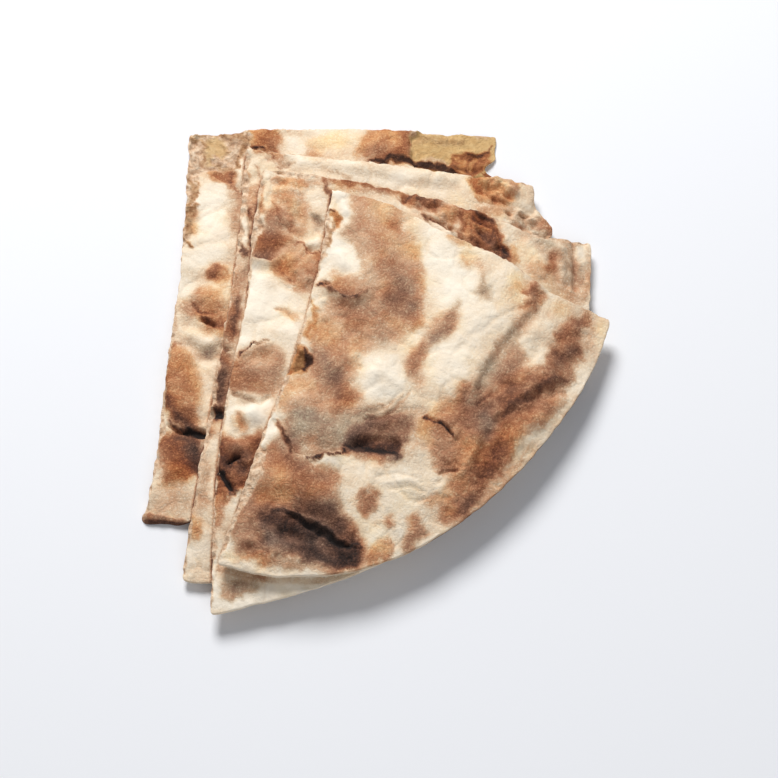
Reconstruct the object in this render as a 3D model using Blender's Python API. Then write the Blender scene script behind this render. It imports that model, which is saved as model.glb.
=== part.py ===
"""A tandoori roti cut into four, with its quarters stacked in a fan.

The bread was baked as one thin oval of about 34 x 24 cm and cut twice across its middle. Each quarter is a
separate sheet of two baked skins with a little crumb between them: two straight knife cuts meet at its apex,
and the thin round rim joins their far ends. The quarters lie on one another, each turned and shifted a
little, and sag over the edges of what is beneath them. Lengths are millimetres until the meshes are made.
Bearings are degrees from +X towards +Y."""

import math

import bmesh
import bpy
import numpy as np
from mathutils import Vector
from mathutils.geometry import delaunay_2d_cdt

MM = 0.001

# The bread, away from its edges and at its baked rim
BREAD_THICKNESS = 4.2
RIM_THICKNESS = 2.6
RIM_TAPER = 11.0  # the strip along the rim in which the bread gets thinner
LEAST_THICKNESS = 1.6
CUT_ROUNDING = 0.7  # how far a cut's upper and lower lip stand back
RIM_ROUNDING = 1.7

# The stack
AIR_GAP = 0.55  # between a quarter and what it lies on
FLOOR = -AIR_GAP + 0.3  # so that a sagging edge stays clear of the surface that the lowest quarter rests on
DRAPE_CELL = 2.0
DRAPE_PASSES = 32  # the more, the stiffer the bread
FIELD_X, FIELD_Y = 100.0, 110.0  # half sizes of the field on which the stack settles

# The facets
OUTLINE_STEP = 5.0
SHEET_FACET = 6.4
TOP_FACET = 4.7  # on the quarter that shows all over

# From the lowest to the top one. A cut's wander is how far it strays to the left of its straight line, at
# even steps along it. A puff is a blister or a hollow in the upper skin and a wave lifts the whole sheet:
# (x, y, half length, half width, bearing, height). Near a tear the edge is missing, or sticks out where the
# depth is below nought: (x, y, reach, depth).
QUARTERS = (
    dict(
        name="quarter_bottom",
        apex=(-72.2, 93.3),
        left_cut=dict(bearing=-93.1, length=152.7, wander=(1.6, 2.5, 1.8, 1.5)),
        right_cut=dict(bearing=0.9, length=114.6, wander=(1.8, 1.6, 0.6)),
        rim=dict(leaves=-8.3, leave_pull=86.7, arrives=93.9, arrive_pull=107.0),
        puffs=(
            (-65.0, 12.0, 12.0, 8.0, 60.0, 1.6),
            (-72.0, -14.0, 13.0, 7.0, 80.0, 1.8),
            (-70.0, -38.0, 9.0, 7.0, 80.0, 1.0),
            (-2.0, 84.0, 14.0, 9.0, 0.0, 1.5),
            (26.0, 85.0, 18.0, 8.0, 0.0, -1.6),
            (-62.0, 82.0, 10.0, 9.0, 0.0, -1.5),
        ),
        waves=(),
        tears=((46.0, 88.0, 7.0, 3.0), (45.5, 80.5, 6.5, 9.0)),
        crust=(0.62, 0.42, 0.27),
    ),
    dict(
        name="quarter_third",
        apex=(-50.9, 85.0),
        left_cut=dict(bearing=-95.6, length=167.7, wander=(2.2, 2.7, 1.4, 0.6)),
        right_cut=dict(bearing=-7.5, length=106.7, wander=(-0.4, -0.6, -1.4)),
        rim=dict(leaves=-8.0, leave_pull=114.0, arrives=106.0, arrive_pull=44.0),
        puffs=(
            (-56.0, 2.0, 16.0, 6.0, 85.0, 1.2),
            (42.0, 66.0, 10.0, 7.0, 0.0, 1.2),
            (-30.0, 78.0, 12.0, 6.0, -8.0, 0.8),
        ),
        waves=((10.0, 74.0, 34.0, 10.0, -8.0, 1.5),),
        tears=((59.0, 53.0, 9.0, -4.0),),
        crust=(0.66, 0.47, 0.31),
    ),
    dict(
        name="quarter_second",
        apex=(-44.1, 73.5),
        left_cut=dict(bearing=-94.4, length=169.2, wander=(-0.8, 0.2, -2.4, -3.4, -2.0)),
        right_cut=dict(bearing=-12.4, length=122.0, wander=(1.5, 2.0, 1.6, -0.1, -2.1, -4.8)),
        rim=dict(leaves=7.3, leave_pull=35.9, arrives=91.0, arrive_pull=108.9),
        puffs=(
            (-38.0, 56.0, 13.0, 10.0, 80.0, 1.3),
            (-44.0, -27.0, 9.0, 8.0, 0.0, 2.0),
            (-46.0, -2.0, 12.0, 7.0, 80.0, 0.9),
            (-53.0, -52.0, 12.0, 5.0, -60.0, -1.6),
            (28.0, 50.0, 20.0, 7.0, -25.0, 1.6),
            (60.0, 33.0, 8.0, 8.0, 0.0, 1.0),
        ),
        waves=((-30.0, -88.0, 30.0, 12.0, 8.0, 1.2),),
        tears=(),
        crust=(0.70, 0.52, 0.36),
    ),
    dict(
        name="quarter_top",
        apex=(-18.8, 61.9),
        left_cut=dict(bearing=-104.3, length=146.4, wander=(3.2, 4.4, 4.4, 2.8, 1.6)),
        right_cut=dict(bearing=-26.1, length=110.3, wander=(4.0, 1.6, 1.6, -2.0)),
        rim=dict(leaves=-20.1, leave_pull=76.0, arrives=79.4, arrive_pull=32.7),
        puffs=(
            (-6.0, 28.0, 26.0, 14.0, -75.0, 1.6),
            (-1.0, -11.0, 11.0, 9.0, 0.0, 2.4),
            (-3.0, -34.0, 10.0, 6.0, 10.0, -2.6),
            (-22.0, -24.0, 11.0, 9.0, 0.0, 1.4),
            (-23.0, -68.0, 15.0, 3.6, -27.0, -2.8),
            (-27.0, -54.0, 13.0, 8.0, -20.0, 1.4),
            (-28.0, -76.0, 16.0, 4.0, -5.0, 1.2),
            (10.0, -50.0, 14.0, 10.0, 20.0, 0.9),
            (24.0, -30.0, 12.0, 9.0, 50.0, 1.2),
        ),
        waves=(
            (29.0, 6.0, 34.0, 9.0, 62.0, 3.4),
            (54.0, -2.0, 22.0, 8.0, 66.0, 2.6),
            (44.0, -33.0, 20.0, 8.0, 38.0, 2.4),
        ),
        tears=(),
        crust=(0.74, 0.57, 0.41),
    ),
)


def towards(bearing):
    angle = math.radians(bearing)
    return np.array([math.cos(angle), math.sin(angle)])


def straight_cut(apex, bearing, length, wander):
    """Points from the apex to the far end of a knife cut."""
    steps = round(length / OUTLINE_STEP)
    along = np.linspace(0.0, 1.0, steps + 1)
    stray = (0.0, *wander, 0.0)
    across = np.interp(along, np.linspace(0.0, 1.0, len(stray)), stray)
    ahead = towards(bearing)
    left = np.array([-ahead[1], ahead[0]])
    return np.array(apex) + length * along[:, None] * ahead + across[:, None] * left


def round_rim(start, end, leaves, leave_pull, arrives, arrive_pull):
    """Points of a cubic curve from one cut's far end to the other's."""
    near, far = start + leave_pull * towards(leaves), end - arrive_pull * towards(arrives)
    steps = round(np.linalg.norm(np.diff([start, near, far, end], axis=0), axis=1).sum() * 0.9 / OUTLINE_STEP)
    t = np.linspace(0.0, 1.0, steps + 1)[:, None]
    return (1 - t) ** 3 * start + 3 * (1 - t) ** 2 * t * near + 3 * (1 - t) * t**2 * far + t**3 * end


def stood_back(loop, distance):
    """The outline moved inwards by a distance for each of its points."""
    ahead = np.roll(loop, -1, axis=0) - np.roll(loop, 1, axis=0)
    inward = np.stack([-ahead[:, 1], ahead[:, 0]], axis=1)
    return loop + inward / np.linalg.norm(inward, axis=1, keepdims=True) * distance[:, None]


def outline(quarter):
    """The quarter's edge, anticlockwise from its apex, and its rim alone."""
    left = straight_cut(quarter["apex"], **quarter["left_cut"])
    right = straight_cut(quarter["apex"], **quarter["right_cut"])
    rim = round_rim(left[-1], right[-1], **quarter["rim"])
    loop = np.concatenate([left[:-1], rim[:-1], right[:0:-1]])
    torn = np.zeros(len(loop))
    for x, y, reach, depth in quarter["tears"]:
        nearness = np.clip(1.0 - np.linalg.norm(loop - (x, y), axis=1) / reach, 0.0, 1.0)
        torn += depth * nearness**2 * (3.0 - 2.0 * nearness)
    return stood_back(loop, torn), rim


def distance_to(line, points):
    """How far each point is from a run of straight pieces."""
    a, b = line[:-1], line[1:]
    run = b - a
    reach = points[:, None] - a[None]
    t = np.clip((reach * run).sum(-1) / (run**2).sum(-1), 0.0, 1.0)
    return np.linalg.norm(reach - t[..., None] * run, axis=-1).min(axis=1)


def is_inside(loop, points):
    """Whether each point is inside a closed outline, by counting the sides to its right."""
    a, b = loop, np.roll(loop, -1, axis=0)
    y = points[:, 1:2]
    crosses = (a[:, 1] > y) != (b[:, 1] > y)
    slope = np.where(b[:, 1] == a[:, 1], 1.0, b[:, 1] - a[:, 1])
    at = a[:, 0] + (y - a[:, 1]) * (b[:, 0] - a[:, 0]) / slope
    return (crosses & (points[:, 0:1] < at)).sum(axis=1) % 2 == 1


def humps(marks, points):
    """The summed height of rounded humps and hollows at each point."""
    total = np.zeros(len(points))
    for x, y, half_length, half_width, bearing, height in marks:
        ahead = towards(bearing)
        reach = points - (x, y)
        along = reach @ ahead / half_length
        across = reach @ np.array([-ahead[1], ahead[0]]) / half_width
        total += height * np.exp(-1.4 * (along**2 + across**2))
    return total


def thickness(quarter, rim, points):
    nearness = np.clip(1.0 - distance_to(rim, points) / RIM_TAPER, 0.0, 1.0)
    full = BREAD_THICKNESS + humps(quarter["puffs"], points) * (1.0 - nearness)
    return np.maximum(full - (BREAD_THICKNESS - RIM_THICKNESS) * nearness**2, LEAST_THICKNESS)


# The field on which the stack settles: one height for each cell
CELLS_X = np.arange(-FIELD_X, FIELD_X + DRAPE_CELL, DRAPE_CELL)
CELLS_Y = np.arange(-FIELD_Y, FIELD_Y + DRAPE_CELL, DRAPE_CELL)
CELL_POINTS = np.stack(np.meshgrid(CELLS_X, CELLS_Y), axis=-1).reshape(-1, 2)
FIELD_SHAPE = (len(CELLS_Y), len(CELLS_X))


def neighbours_sum(field):
    """The sum over each cell and the eight around it."""
    wide = np.pad(field, 1)
    rows = wide[:-2] + wide[1:-1] + wide[2:]
    return rows[:, :-2] + rows[:, 1:-1] + rows[:, 2:]


def blurred(height, weight):
    return neighbours_sum(height * weight) / np.maximum(neighbours_sum(weight), 1e-9)


def settled(ground, weight):
    """The underside of a limp sheet laid on the ground: it bridges hollows and sags over edges."""
    resting = ground + AIR_GAP
    height = resting
    for _ in range(DRAPE_PASSES):
        height = np.maximum(resting, blurred(height, weight))
    return height


def spread_outwards(height, weight, cells):
    """The sheet's heights carried on past its edge by so many cells."""
    for _ in range(cells):
        grown = (neighbours_sum(weight) > 0).astype(float)
        height = np.where(weight > 0, height, blurred(height, weight))
        weight = grown
    return height, weight


def read_field(field, points):
    """The field's height at each point, between its cells."""
    column = (points[:, 0] + FIELD_X) / DRAPE_CELL
    row = (points[:, 1] + FIELD_Y) / DRAPE_CELL
    i, j = np.floor(row).astype(int), np.floor(column).astype(int)
    v, u = row - i, column - j
    low = field[i, j] * (1 - u) + field[i, j + 1] * u
    high = field[i + 1, j] * (1 - u) + field[i + 1, j + 1] * u
    return low * (1 - v) + high * v


def lattice(loop, facet):
    """Points of a triangular lattice that lie well inside the outline. It is the same for every quarter."""
    rows = np.arange(-FIELD_Y, FIELD_Y, facet * math.sqrt(0.75))
    columns = np.arange(-FIELD_X, FIELD_X, facet)
    points = np.array([(x + facet / 2 * (n % 2), y) for n, y in enumerate(rows) for x in columns])
    closed = np.concatenate([loop, loop[:1]])
    return points[is_inside(loop, points) & (distance_to(closed, points) > facet * 0.55)]


def filled(ring, inner):
    """Triangles that fill a ring of points over the inner points: all points, and their triangles."""
    points = np.concatenate([ring, inner])
    sides = [(i, (i + 1) % len(ring)) for i in range(len(ring))]
    _, _, faces, *_ = delaunay_2d_cdt([Vector(p) for p in points], sides, [], 0, 1e-6, False)
    kept = is_inside(ring, np.array([points[list(face)].mean(axis=0) for face in faces]))
    return points, [tuple(face) for face, keep in zip(faces, kept) if keep]


def sheet_mesh(name, loop, rim, underside, topside, top_facet):
    """A closed sheet: an upper and a lower skin of triangles, and a rounded wall between them."""
    nearness = np.clip(1.0 - distance_to(rim, loop) / OUTLINE_STEP, 0.0, 1.0)
    back = CUT_ROUNDING + (RIM_ROUNDING - CUT_ROUNDING) * nearness
    lip = stood_back(loop, back)
    top, top_faces = filled(lip, lattice(lip, top_facet))
    under, under_faces = filled(lip, lattice(lip, SHEET_FACET))
    middle = (underside(loop) + topside(loop)) / 2

    verts = [(*p, z) for p, z in zip(top, topside(top))]
    verts += [(*p, z) for p, z in zip(under, underside(under))]
    verts += [(*p, z) for p, z in zip(loop, middle)]
    faces = top_faces + [tuple(len(top) + i for i in reversed(face)) for face in under_faces]
    wall = len(top) + len(under)
    for i in range(len(loop)):
        j = (i + 1) % len(loop)
        faces += [(i, wall + i, wall + j), (i, wall + j, j)]
        faces += [(len(top) + i, wall + j, wall + i), (len(top) + i, len(top) + j, wall + j)]

    mesh = bpy.data.meshes.new(name)
    mesh.from_pydata([Vector(v) * MM for v in verts], [], faces)
    work = bmesh.new()
    work.from_mesh(mesh)
    bmesh.ops.recalc_face_normals(work, faces=work.faces)
    work.to_mesh(mesh)
    work.free()
    mesh.shade_smooth()
    mesh.set_sharp_from_angle(angle=math.radians(50))
    return mesh


def baked_crust(name, colour):
    material = bpy.data.materials.new(f"{name}_crust")
    material.use_nodes = True
    shader = material.node_tree.nodes["Principled BSDF"]
    shader.inputs["Base Color"].default_value = (*colour, 1.0)
    shader.inputs["Roughness"].default_value = 0.8
    shader.inputs["Metallic"].default_value = 0.0
    return material


def lay_quarter(quarter, ground, is_top):
    """Builds one quarter on the ground and returns the ground that the next one lies on."""
    loop, rim = outline(quarter)
    weight = is_inside(loop, CELL_POINTS).reshape(FIELD_SHAPE).astype(float)
    if ground is None:
        ground = np.full(FIELD_SHAPE, FLOOR)
        under = np.zeros(FIELD_SHAPE)
    else:
        under = settled(ground, weight) + humps(quarter["waves"], CELL_POINTS).reshape(FIELD_SHAPE)
    under, covered = spread_outwards(under, weight, 2)
    top = under + thickness(quarter, rim, CELL_POINTS).reshape(FIELD_SHAPE)

    def underside(points):
        return read_field(under, points)

    def topside(points):
        return underside(points) + thickness(quarter, rim, points)

    mesh = sheet_mesh(quarter["name"], loop, rim, underside, topside, TOP_FACET if is_top else SHEET_FACET)
    mesh.materials.append(baked_crust(quarter["name"], quarter["crust"]))
    bpy.context.collection.objects.link(bpy.data.objects.new(quarter["name"], mesh))
    return np.where(covered > 0, np.maximum(top, ground), ground)


for old in list(bpy.data.objects):
    bpy.data.objects.remove(old, do_unlink=True)

surface = None
for number, quarter in enumerate(QUARTERS):
    surface = lay_quarter(quarter, surface, is_top=number == len(QUARTERS) - 1)
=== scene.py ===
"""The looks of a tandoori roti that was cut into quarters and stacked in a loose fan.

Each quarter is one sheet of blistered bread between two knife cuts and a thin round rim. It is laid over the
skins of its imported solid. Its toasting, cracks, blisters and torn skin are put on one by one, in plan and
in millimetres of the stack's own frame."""

import math

import bpy
import numpy as np
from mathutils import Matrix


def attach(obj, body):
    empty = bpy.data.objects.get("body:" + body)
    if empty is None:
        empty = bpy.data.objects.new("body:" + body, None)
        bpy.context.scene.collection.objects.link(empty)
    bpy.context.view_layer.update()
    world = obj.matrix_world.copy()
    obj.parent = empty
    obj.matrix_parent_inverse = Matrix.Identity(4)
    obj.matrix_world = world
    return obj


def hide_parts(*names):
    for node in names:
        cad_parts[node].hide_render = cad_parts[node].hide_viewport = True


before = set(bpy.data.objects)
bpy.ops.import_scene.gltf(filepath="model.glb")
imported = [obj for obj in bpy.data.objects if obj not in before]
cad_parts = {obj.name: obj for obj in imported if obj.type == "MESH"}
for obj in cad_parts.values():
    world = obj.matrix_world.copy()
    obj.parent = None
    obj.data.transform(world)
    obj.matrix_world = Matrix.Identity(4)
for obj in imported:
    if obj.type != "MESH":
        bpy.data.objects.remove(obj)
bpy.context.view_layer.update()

bpy.ops.object.select_all(action="DESELECT")

# ---------------------------------------------------------------------------------------------------------
# The lowest quarter. A sheet of leavened dough that was slapped onto the oven's wall, so both its skins
# are dry, floury and toasted in patches, and a knife has laid its crumb open along two sides. Its left
# strip and its upper strip show. The quarters above it are made with the same functions.

MM = 0.001
FAR = 1e9  # further than anything in the picture


def ease(share):
    share = np.clip(share, 0.0, 1.0)
    return share * share * (3.0 - 2.0 * share)


def mottle(x, y, size, seed):
    """Soft unevenness from -1 to 1 with lumps of about the given size, turned its own way for each seed."""
    cells = 128
    lattice = np.random.default_rng(seed).uniform(-1.0, 1.0, (cells, cells))
    turn = math.radians(23.0 + 31.0 * seed)
    u = (x * math.cos(turn) + y * math.sin(turn)) / size
    v = (y * math.cos(turn) - x * math.sin(turn)) / size
    i, j = np.floor(u).astype(int), np.floor(v).astype(int)
    s, t = ease(u - i), ease(v - j)
    i, j, k, m = i % cells, j % cells, (i + 1) % cells, (j + 1) % cells
    near = lattice[i, j] * (1.0 - s) + lattice[k, j] * s
    far = lattice[i, m] * (1.0 - s) + lattice[k, m] * s
    return near * (1.0 - t) + far * t


def mottles(x, y, seed, *layers):
    """The sum of mottles, each given as (strength, size, what is added to the seed)."""
    return sum(strength * mottle(x, y, size, seed + number) for strength, size, number in layers)


def towards(bearing):
    angle = math.radians(bearing)
    return np.array([math.cos(angle), math.sin(angle)])


def evenly(points, count):
    """The same line with count steps of equal length."""
    along = np.r_[0.0, np.cumsum(np.linalg.norm(np.diff(points, axis=0), axis=1))]
    at = np.linspace(0.0, along[-1], count + 1)
    return np.column_stack([np.interp(at, along, points[:, 0]), np.interp(at, along, points[:, 1])])


def knife_cut(apex, bearing, length, wander):
    """A cut from the apex outwards, which strays to the left by the wanders at even steps along it."""
    along = np.linspace(0.0, 1.0, 160)
    stray = (0.0, *wander, 0.0)
    across = np.interp(along, np.linspace(0.0, 1.0, len(stray)), stray)
    ahead = towards(bearing)
    left = np.array([-ahead[1], ahead[0]])
    return np.array(apex) + length * along[:, None] * ahead + across[:, None] * left


def round_rim(start, end, leaves, leave_pull, arrives, arrive_pull):
    """A Bezier curve that leaves the start and arrives at the end on the given bearings."""
    near, far = start + leave_pull * towards(leaves), end - arrive_pull * towards(arrives)
    t = np.linspace(0.0, 1.0, 200)[:, None]
    return (1 - t) ** 3 * start + 3 * (1 - t) ** 2 * t * near + 3 * (1 - t) * t**2 * far + t**3 * end


def smoothed(ring, reach):
    """A closed ring of values, each averaged with its neighbours."""
    span = np.arange(-3 * reach, 3 * reach + 1)
    weight = np.exp(-0.5 * (span / reach) ** 2)
    return sum(w * np.roll(ring, s, axis=0) for w, s in zip(weight / weight.sum(), span))


def segments(line, closed=False):
    return zip(line, np.roll(line, -1, axis=0) if closed else line[1:])


def distance_to(x, y, line, closed=False):
    """How far points are from a line, and where along it, from 0 to 1, the nearest point is."""
    least, where = np.full(x.shape, FAR), np.zeros(x.shape)
    count = len(line) if closed else len(line) - 1
    for number, (start, end) in enumerate(segments(line, closed)):
        way = end - start
        share = ((x - start[0]) * way[0] + (y - start[1]) * way[1]) / max(way @ way, 1e-12)
        share = np.clip(share, 0.0, 1.0)
        away = np.hypot(x - start[0] - share * way[0], y - start[1] - share * way[1])
        where = np.where(away < least, (number + share) / count, where)
        least = np.minimum(least, away)
    return least, where


def depth_inside(x, y, ring):
    """How far points are inside a closed ring, below nought for those outside it."""
    crossings = np.zeros(x.shape, int)
    for (x0, y0), (x1, y1) in segments(ring, closed=True):
        if y0 != y1:
            crossings += ((y0 > y) != (y1 > y)) & (x < x0 + (y - y0) * (x1 - x0) / (y1 - y0))
    away = distance_to(x, y, ring, closed=True)[0]
    return np.where(crossings % 2 == 1, away, -away)


def rounded(corners):
    """A closed outline with its corners cut off twice."""
    ring = np.array(corners, float)
    for _ in range(2):
        ahead = np.roll(ring, -1, axis=0)
        ring = np.stack([0.75 * ring + 0.25 * ahead, 0.25 * ring + 0.75 * ahead], axis=1).reshape(-1, 2)
    return ring


def covered(x, y, shape, soft):
    """1 inside a shape and 0 outside it. It is an outline of (x, y) or a stroke of (x, y, half width)."""
    shape = np.array(shape, float)
    is_stroke = shape.shape[1] == 3
    reach = soft + (shape[:, 2].max() if is_stroke else 0.0)
    low, high = shape.min(axis=0) - reach, shape.max(axis=0) + reach
    near = (x > low[0]) & (x < high[0]) & (y > low[1]) & (y < high[1])
    share = np.zeros(x.shape)
    x, y = x[near], y[near]
    if is_stroke:
        inside = np.full(x.shape, -FAR)
        for start, end in zip(shape, shape[1:] if len(shape) > 1 else shape):
            way = end - start
            along = ((x - start[0]) * way[0] + (y - start[1]) * way[1]) / max(way[:2] @ way[:2], 1e-9)
            along = np.clip(along, 0.0, 1.0)
            away = np.hypot(x - start[0] - along * way[0], y - start[1] - along * way[1])
            inside = np.maximum(inside, start[2] + along * way[2] - away)
    else:
        inside = depth_inside(x, y, rounded(shape))
    share[near] = ease(inside / soft + 0.5)
    return share


# What baking does to the skin, and the shade that is painted with the same looks: how far it is toasted,
# from flour to char, how warm its brown is, from grey to orange, and how much of it is bare crumb
LOOKS = dict(
    white=(0.02, 0.42, 0.0),
    cream=(0.12, 0.50, 0.0),
    yellow=(0.22, 0.95, 0.0),
    pink=(0.40, 0.52, 0.0),
    tan=(0.38, 0.55, 0.0),
    orange=(0.49, 0.90, 0.0),
    amber=(0.54, 1.00, 0.05),
    brown=(0.60, 0.50, 0.0),
    red_brown=(0.72, 0.72, 0.0),
    rust=(0.70, 0.86, 0.0),
    grey=(0.36, 0.05, 0.0),
    grey_brown=(0.62, 0.12, 0.0),
    dark=(0.84, 0.30, 0.0),
    char_and_shade=(0.98, 0.10, 0.0),
    crumb=(0.30, 0.45, 1.0),
    lining=(0.34, 1.00, 1.0),
    orange_crumb=(0.50, 1.00, 0.30),
    toasted_crumb=(0.58, 0.70, 1.0),
    rust_crumb=(0.70, 0.86, 0.15),
    dark_crumb=(0.68, 0.80, 1.0),
    burnt_and_shaded_crumb=(0.97, 0.60, 0.8),
)
TOAST, WARMTH, BARE = 0, 1, 2  # the columns of a finish, which is a look for each place
SKIN_CELLS = 240, 184  # along the left cut and along the right cut
WALL_ROWS = 8
CUT_LIP, RIM_LIP = 0.45, 0.8  # how far the upper skin's edge stands back from the widest line
UNDERCUT = 1.1  # how far the lower skin's edge stands back from the upper one's
FIT_REACH = 3.2  # of the smooth surface that is laid through the solid's facets
FLATNESS = 2.0  # how strongly a fitted plane is held level where there are few samples
LEAST_RISE = 0.88  # of the upright part of a facet's normal, if the facet belongs to a skin
GAP_ABOVE, GAP_BELOW = 0.2, 0.05  # from the upper skin to the quarter above, and from the lower to the floor
LEAST_THICKNESS = 0.9
EDGE_STEPS = 120  # round a quarter's whole edge, for measuring how far a place is from it
HIDDEN_DEPTH = 5.0  # how far in under another quarter the skin is left to chance
CONTACT_SHADE_REACH = 1.1  # how far from the foot of a quarter that lies on it the painted contact shade reaches
HALO_FROM, HALO = 0.45, 0.34  # how toasted a patch is that has a paler halo, and how toasted the halo is
BLUR = 1.4  # how much softer the edges of toasting are than those of bare crumb
STEEPNESS = dict(lip=0.5, fold=3.2)  # how wide the step is on which a ridge stands up
CREASES = (0.32, 5.0, 10.0, 31), (0.18, 4.0, 5.5, 32), (0.14, 3.0, 3.0, 33)  # depth, sharpness, size, seed


def skin_samples(node):
    """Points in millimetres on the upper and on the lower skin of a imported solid."""
    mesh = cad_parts[node].data
    mesh.calc_loop_triangles()
    points = np.empty(len(mesh.vertices) * 3, np.float32)
    mesh.vertices.foreach_get("co", points)
    corners = np.empty(len(mesh.loop_triangles) * 3, np.int32)
    mesh.loop_triangles.foreach_get("vertices", corners)
    facets = points.reshape(-1, 3).astype(float)[corners.reshape(-1, 3)] / MM
    normals = np.cross(facets[:, 1] - facets[:, 0], facets[:, 2] - facets[:, 0])
    rise = normals[:, 2] / np.linalg.norm(normals, axis=1)
    return [np.vstack([facets[side].mean(axis=1), np.unique(facets[side].reshape(-1, 3).round(3), axis=0)])
            for side in (rise > LEAST_RISE, rise < -LEAST_RISE)]


def level(samples, x, y):
    """The height of a smooth surface through the samples, as a plane is fitted to those near each place."""
    sx, sy, sz = samples.T
    terms = np.column_stack([np.ones_like(sx), sx, sy, sx * sx, sx * sy, sy * sy, sz, sx * sz, sy * sz])
    heights = np.empty(len(x))
    for part in np.array_split(np.arange(len(x)), 1 + len(x) // 4000):
        px, py = x[part], y[part]
        gap = (px[:, None] - sx) ** 2 + (py[:, None] - sy) ** 2
        nearest = gap.min(axis=1, keepdims=True)
        one, ax, ay, axx, axy, ayy, az, axz, ayz = (np.exp((nearest - gap) / (2 * FIT_REACH**2)) @ terms).T
        rows = np.empty((len(part), 3, 3))
        rows[:, 0] = np.column_stack([one, ax - px * one, ay - py * one])
        rows[:, 1, 0], rows[:, 2, 0] = rows[:, 0, 1], rows[:, 0, 2]
        rows[:, 1, 1] = axx - 2 * px * ax + px * px * one + FLATNESS * one
        rows[:, 2, 2] = ayy - 2 * py * ay + py * py * one + FLATNESS * one
        rows[:, 1, 2] = rows[:, 2, 1] = axy - px * ay - py * ax + px * py * one
        sums = np.column_stack([az, axz - px * az, ayz - py * az])
        heights[part] = np.linalg.solve(rows, sums[:, :, None])[:, 0, 0]
    return heights


def outline(plan):
    """A quarter's plan: its left cut and its right cut from the apex outwards, and the rim between them."""
    left = knife_cut(plan["apex"], *plan["left_cut"])
    right = knife_cut(plan["apex"], *plan["right_cut"])
    return left, right, round_rim(left[-1], right[-1], *plan["rim"])


def pushed(ring, outwards, marks):
    """The edge moved out, or in where the push is below nought, near each mark of (x, y, reach, push)."""
    push = sum(amount * ease(1.0 - np.hypot(ring[:, 0] - x, ring[:, 1] - y) / reach)
               for x, y, reach, amount in marks)
    return ring + outwards * np.reshape(push, (-1, 1))


def edges_of(plan, seed):
    """The edges of the upper and of the lower skin as closed rings from the apex round, the way outwards,
    and how far each place on them belongs to a cut. They are ragged, and stand back more at the rim."""
    across, down = SKIN_CELLS
    left, right, rim = outline(plan)
    lengths = [np.linalg.norm(np.diff(line, axis=0), axis=1).sum() for line in (left, right)]
    rim_steps = 400
    rim = evenly(rim, rim_steps)
    bend = round(rim_steps * lengths[1] / sum(lengths))
    ring = np.vstack([evenly(left, across)[:-1], evenly(rim[: bend + 1], down)[:-1],
                      evenly(rim[bend:], across)[:-1], evenly(right[::-1], down)[:-1]])
    is_cut = smoothed(np.r_[np.ones(across), np.zeros(down + across), np.ones(down)], 3)
    ring = smoothed(ring, 2)
    along = np.roll(ring, -1, axis=0) - np.roll(ring, 1, axis=0)
    outwards = np.column_stack([along[:, 1], -along[:, 0]]) / np.linalg.norm(along, axis=1)[:, None]
    outwards = smoothed(outwards, 2)
    x, y = ring.T
    ragged = is_cut * mottles(x, y, seed, (0.30, 1.6, 0), (0.35, 4.5, 1))
    ragged += (1.0 - is_cut) * mottles(x, y, seed, (0.22, 2.6, 2), (0.4, 9.0, 3))
    lip = is_cut * CUT_LIP + (1.0 - is_cut) * RIM_LIP
    upper = pushed(ring + outwards * (ragged - lip)[:, None], outwards, plan.get("tears", ()))
    lower = pushed(upper - outwards * UNDERCUT, outwards, plan.get("lower_lip", ()))
    return upper, lower, outwards, is_cut


def between_sides(ring, i, j):
    """Where the points of a skin lie, between the four sides of its edge."""
    across, down = SKIN_CELLS
    corner = across, across + down, 2 * across + down
    near, far = ring[: corner[0] + 1], ring[corner[1] : corner[2] + 1][::-1]
    first, last = np.vstack([ring[corner[2] :], ring[:1]])[::-1], ring[corner[0] : corner[1] + 1]
    u, v = (i / across)[:, None], (j / down)[:, None]
    place = (1 - v) * near[i] + v * far[i] + (1 - u) * first[j] + u * last[j]
    place -= (1 - u) * (1 - v) * near[0] + u * (1 - v) * near[-1] + (1 - u) * v * far[0] + u * v * far[-1]
    return place.T.copy()


def lain_under(x, y, above):
    """How far places are hidden by the quarters above, how much painted contact shade they take near the
    foot of one, and how high they may stand under them."""
    is_hidden, contact_shade, ceiling = np.zeros(len(x)), np.zeros(len(x)), np.full(len(x), FAR)
    for covering, plan in above:
        left, right, rim = outline(plan)
        edge = evenly(np.vstack([left, rim[1:], right[::-1][1:]]), EDGE_STEPS)[:-1]
        depth = depth_inside(x, y, edge)
        is_hidden = np.maximum(is_hidden, ease(depth / HIDDEN_DEPTH - 0.5))
        # A round rim curls clear of what it lies on, so the painted shade along it is weaker than along a
        # cut
        by_rim = ease(2.0 - distance_to(x, y, evenly(rim, EDGE_STEPS // 2))[0] / 2.0)
        contact_shade = np.maximum(contact_shade, ease(1.0 + depth / CONTACT_SHADE_REACH) * (depth < 1.5) * (1.0 - 0.7 * by_rim))
        met = depth > -0.6
        upper_limit = level(skin_samples(covering)[1], x[met], y[met]) - GAP_ABOVE
        ceiling[met] = np.minimum(ceiling[met], upper_limit)
    return is_hidden, contact_shade, ceiling


def lay_on(finish, look, share):
    finish += share[:, None] * (np.array(LOOKS[look]) - finish)


def blurred(values, steps):
    """Values of the skin's places, each averaged with its four neighbours again and again."""
    grid = values.reshape(SKIN_CELLS[0] + 1, SKIN_CELLS[1] + 1, -1)
    for _ in range(steps):
        grid = np.pad(grid, ((1, 1), (1, 1), (0, 0)), mode="edge")
        grid = (grid[:-2, 1:-1] + grid[2:, 1:-1] + grid[1:-1, :-2] + grid[1:-1, 2:]) / 4.0
    return grid.reshape(values.shape)


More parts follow.
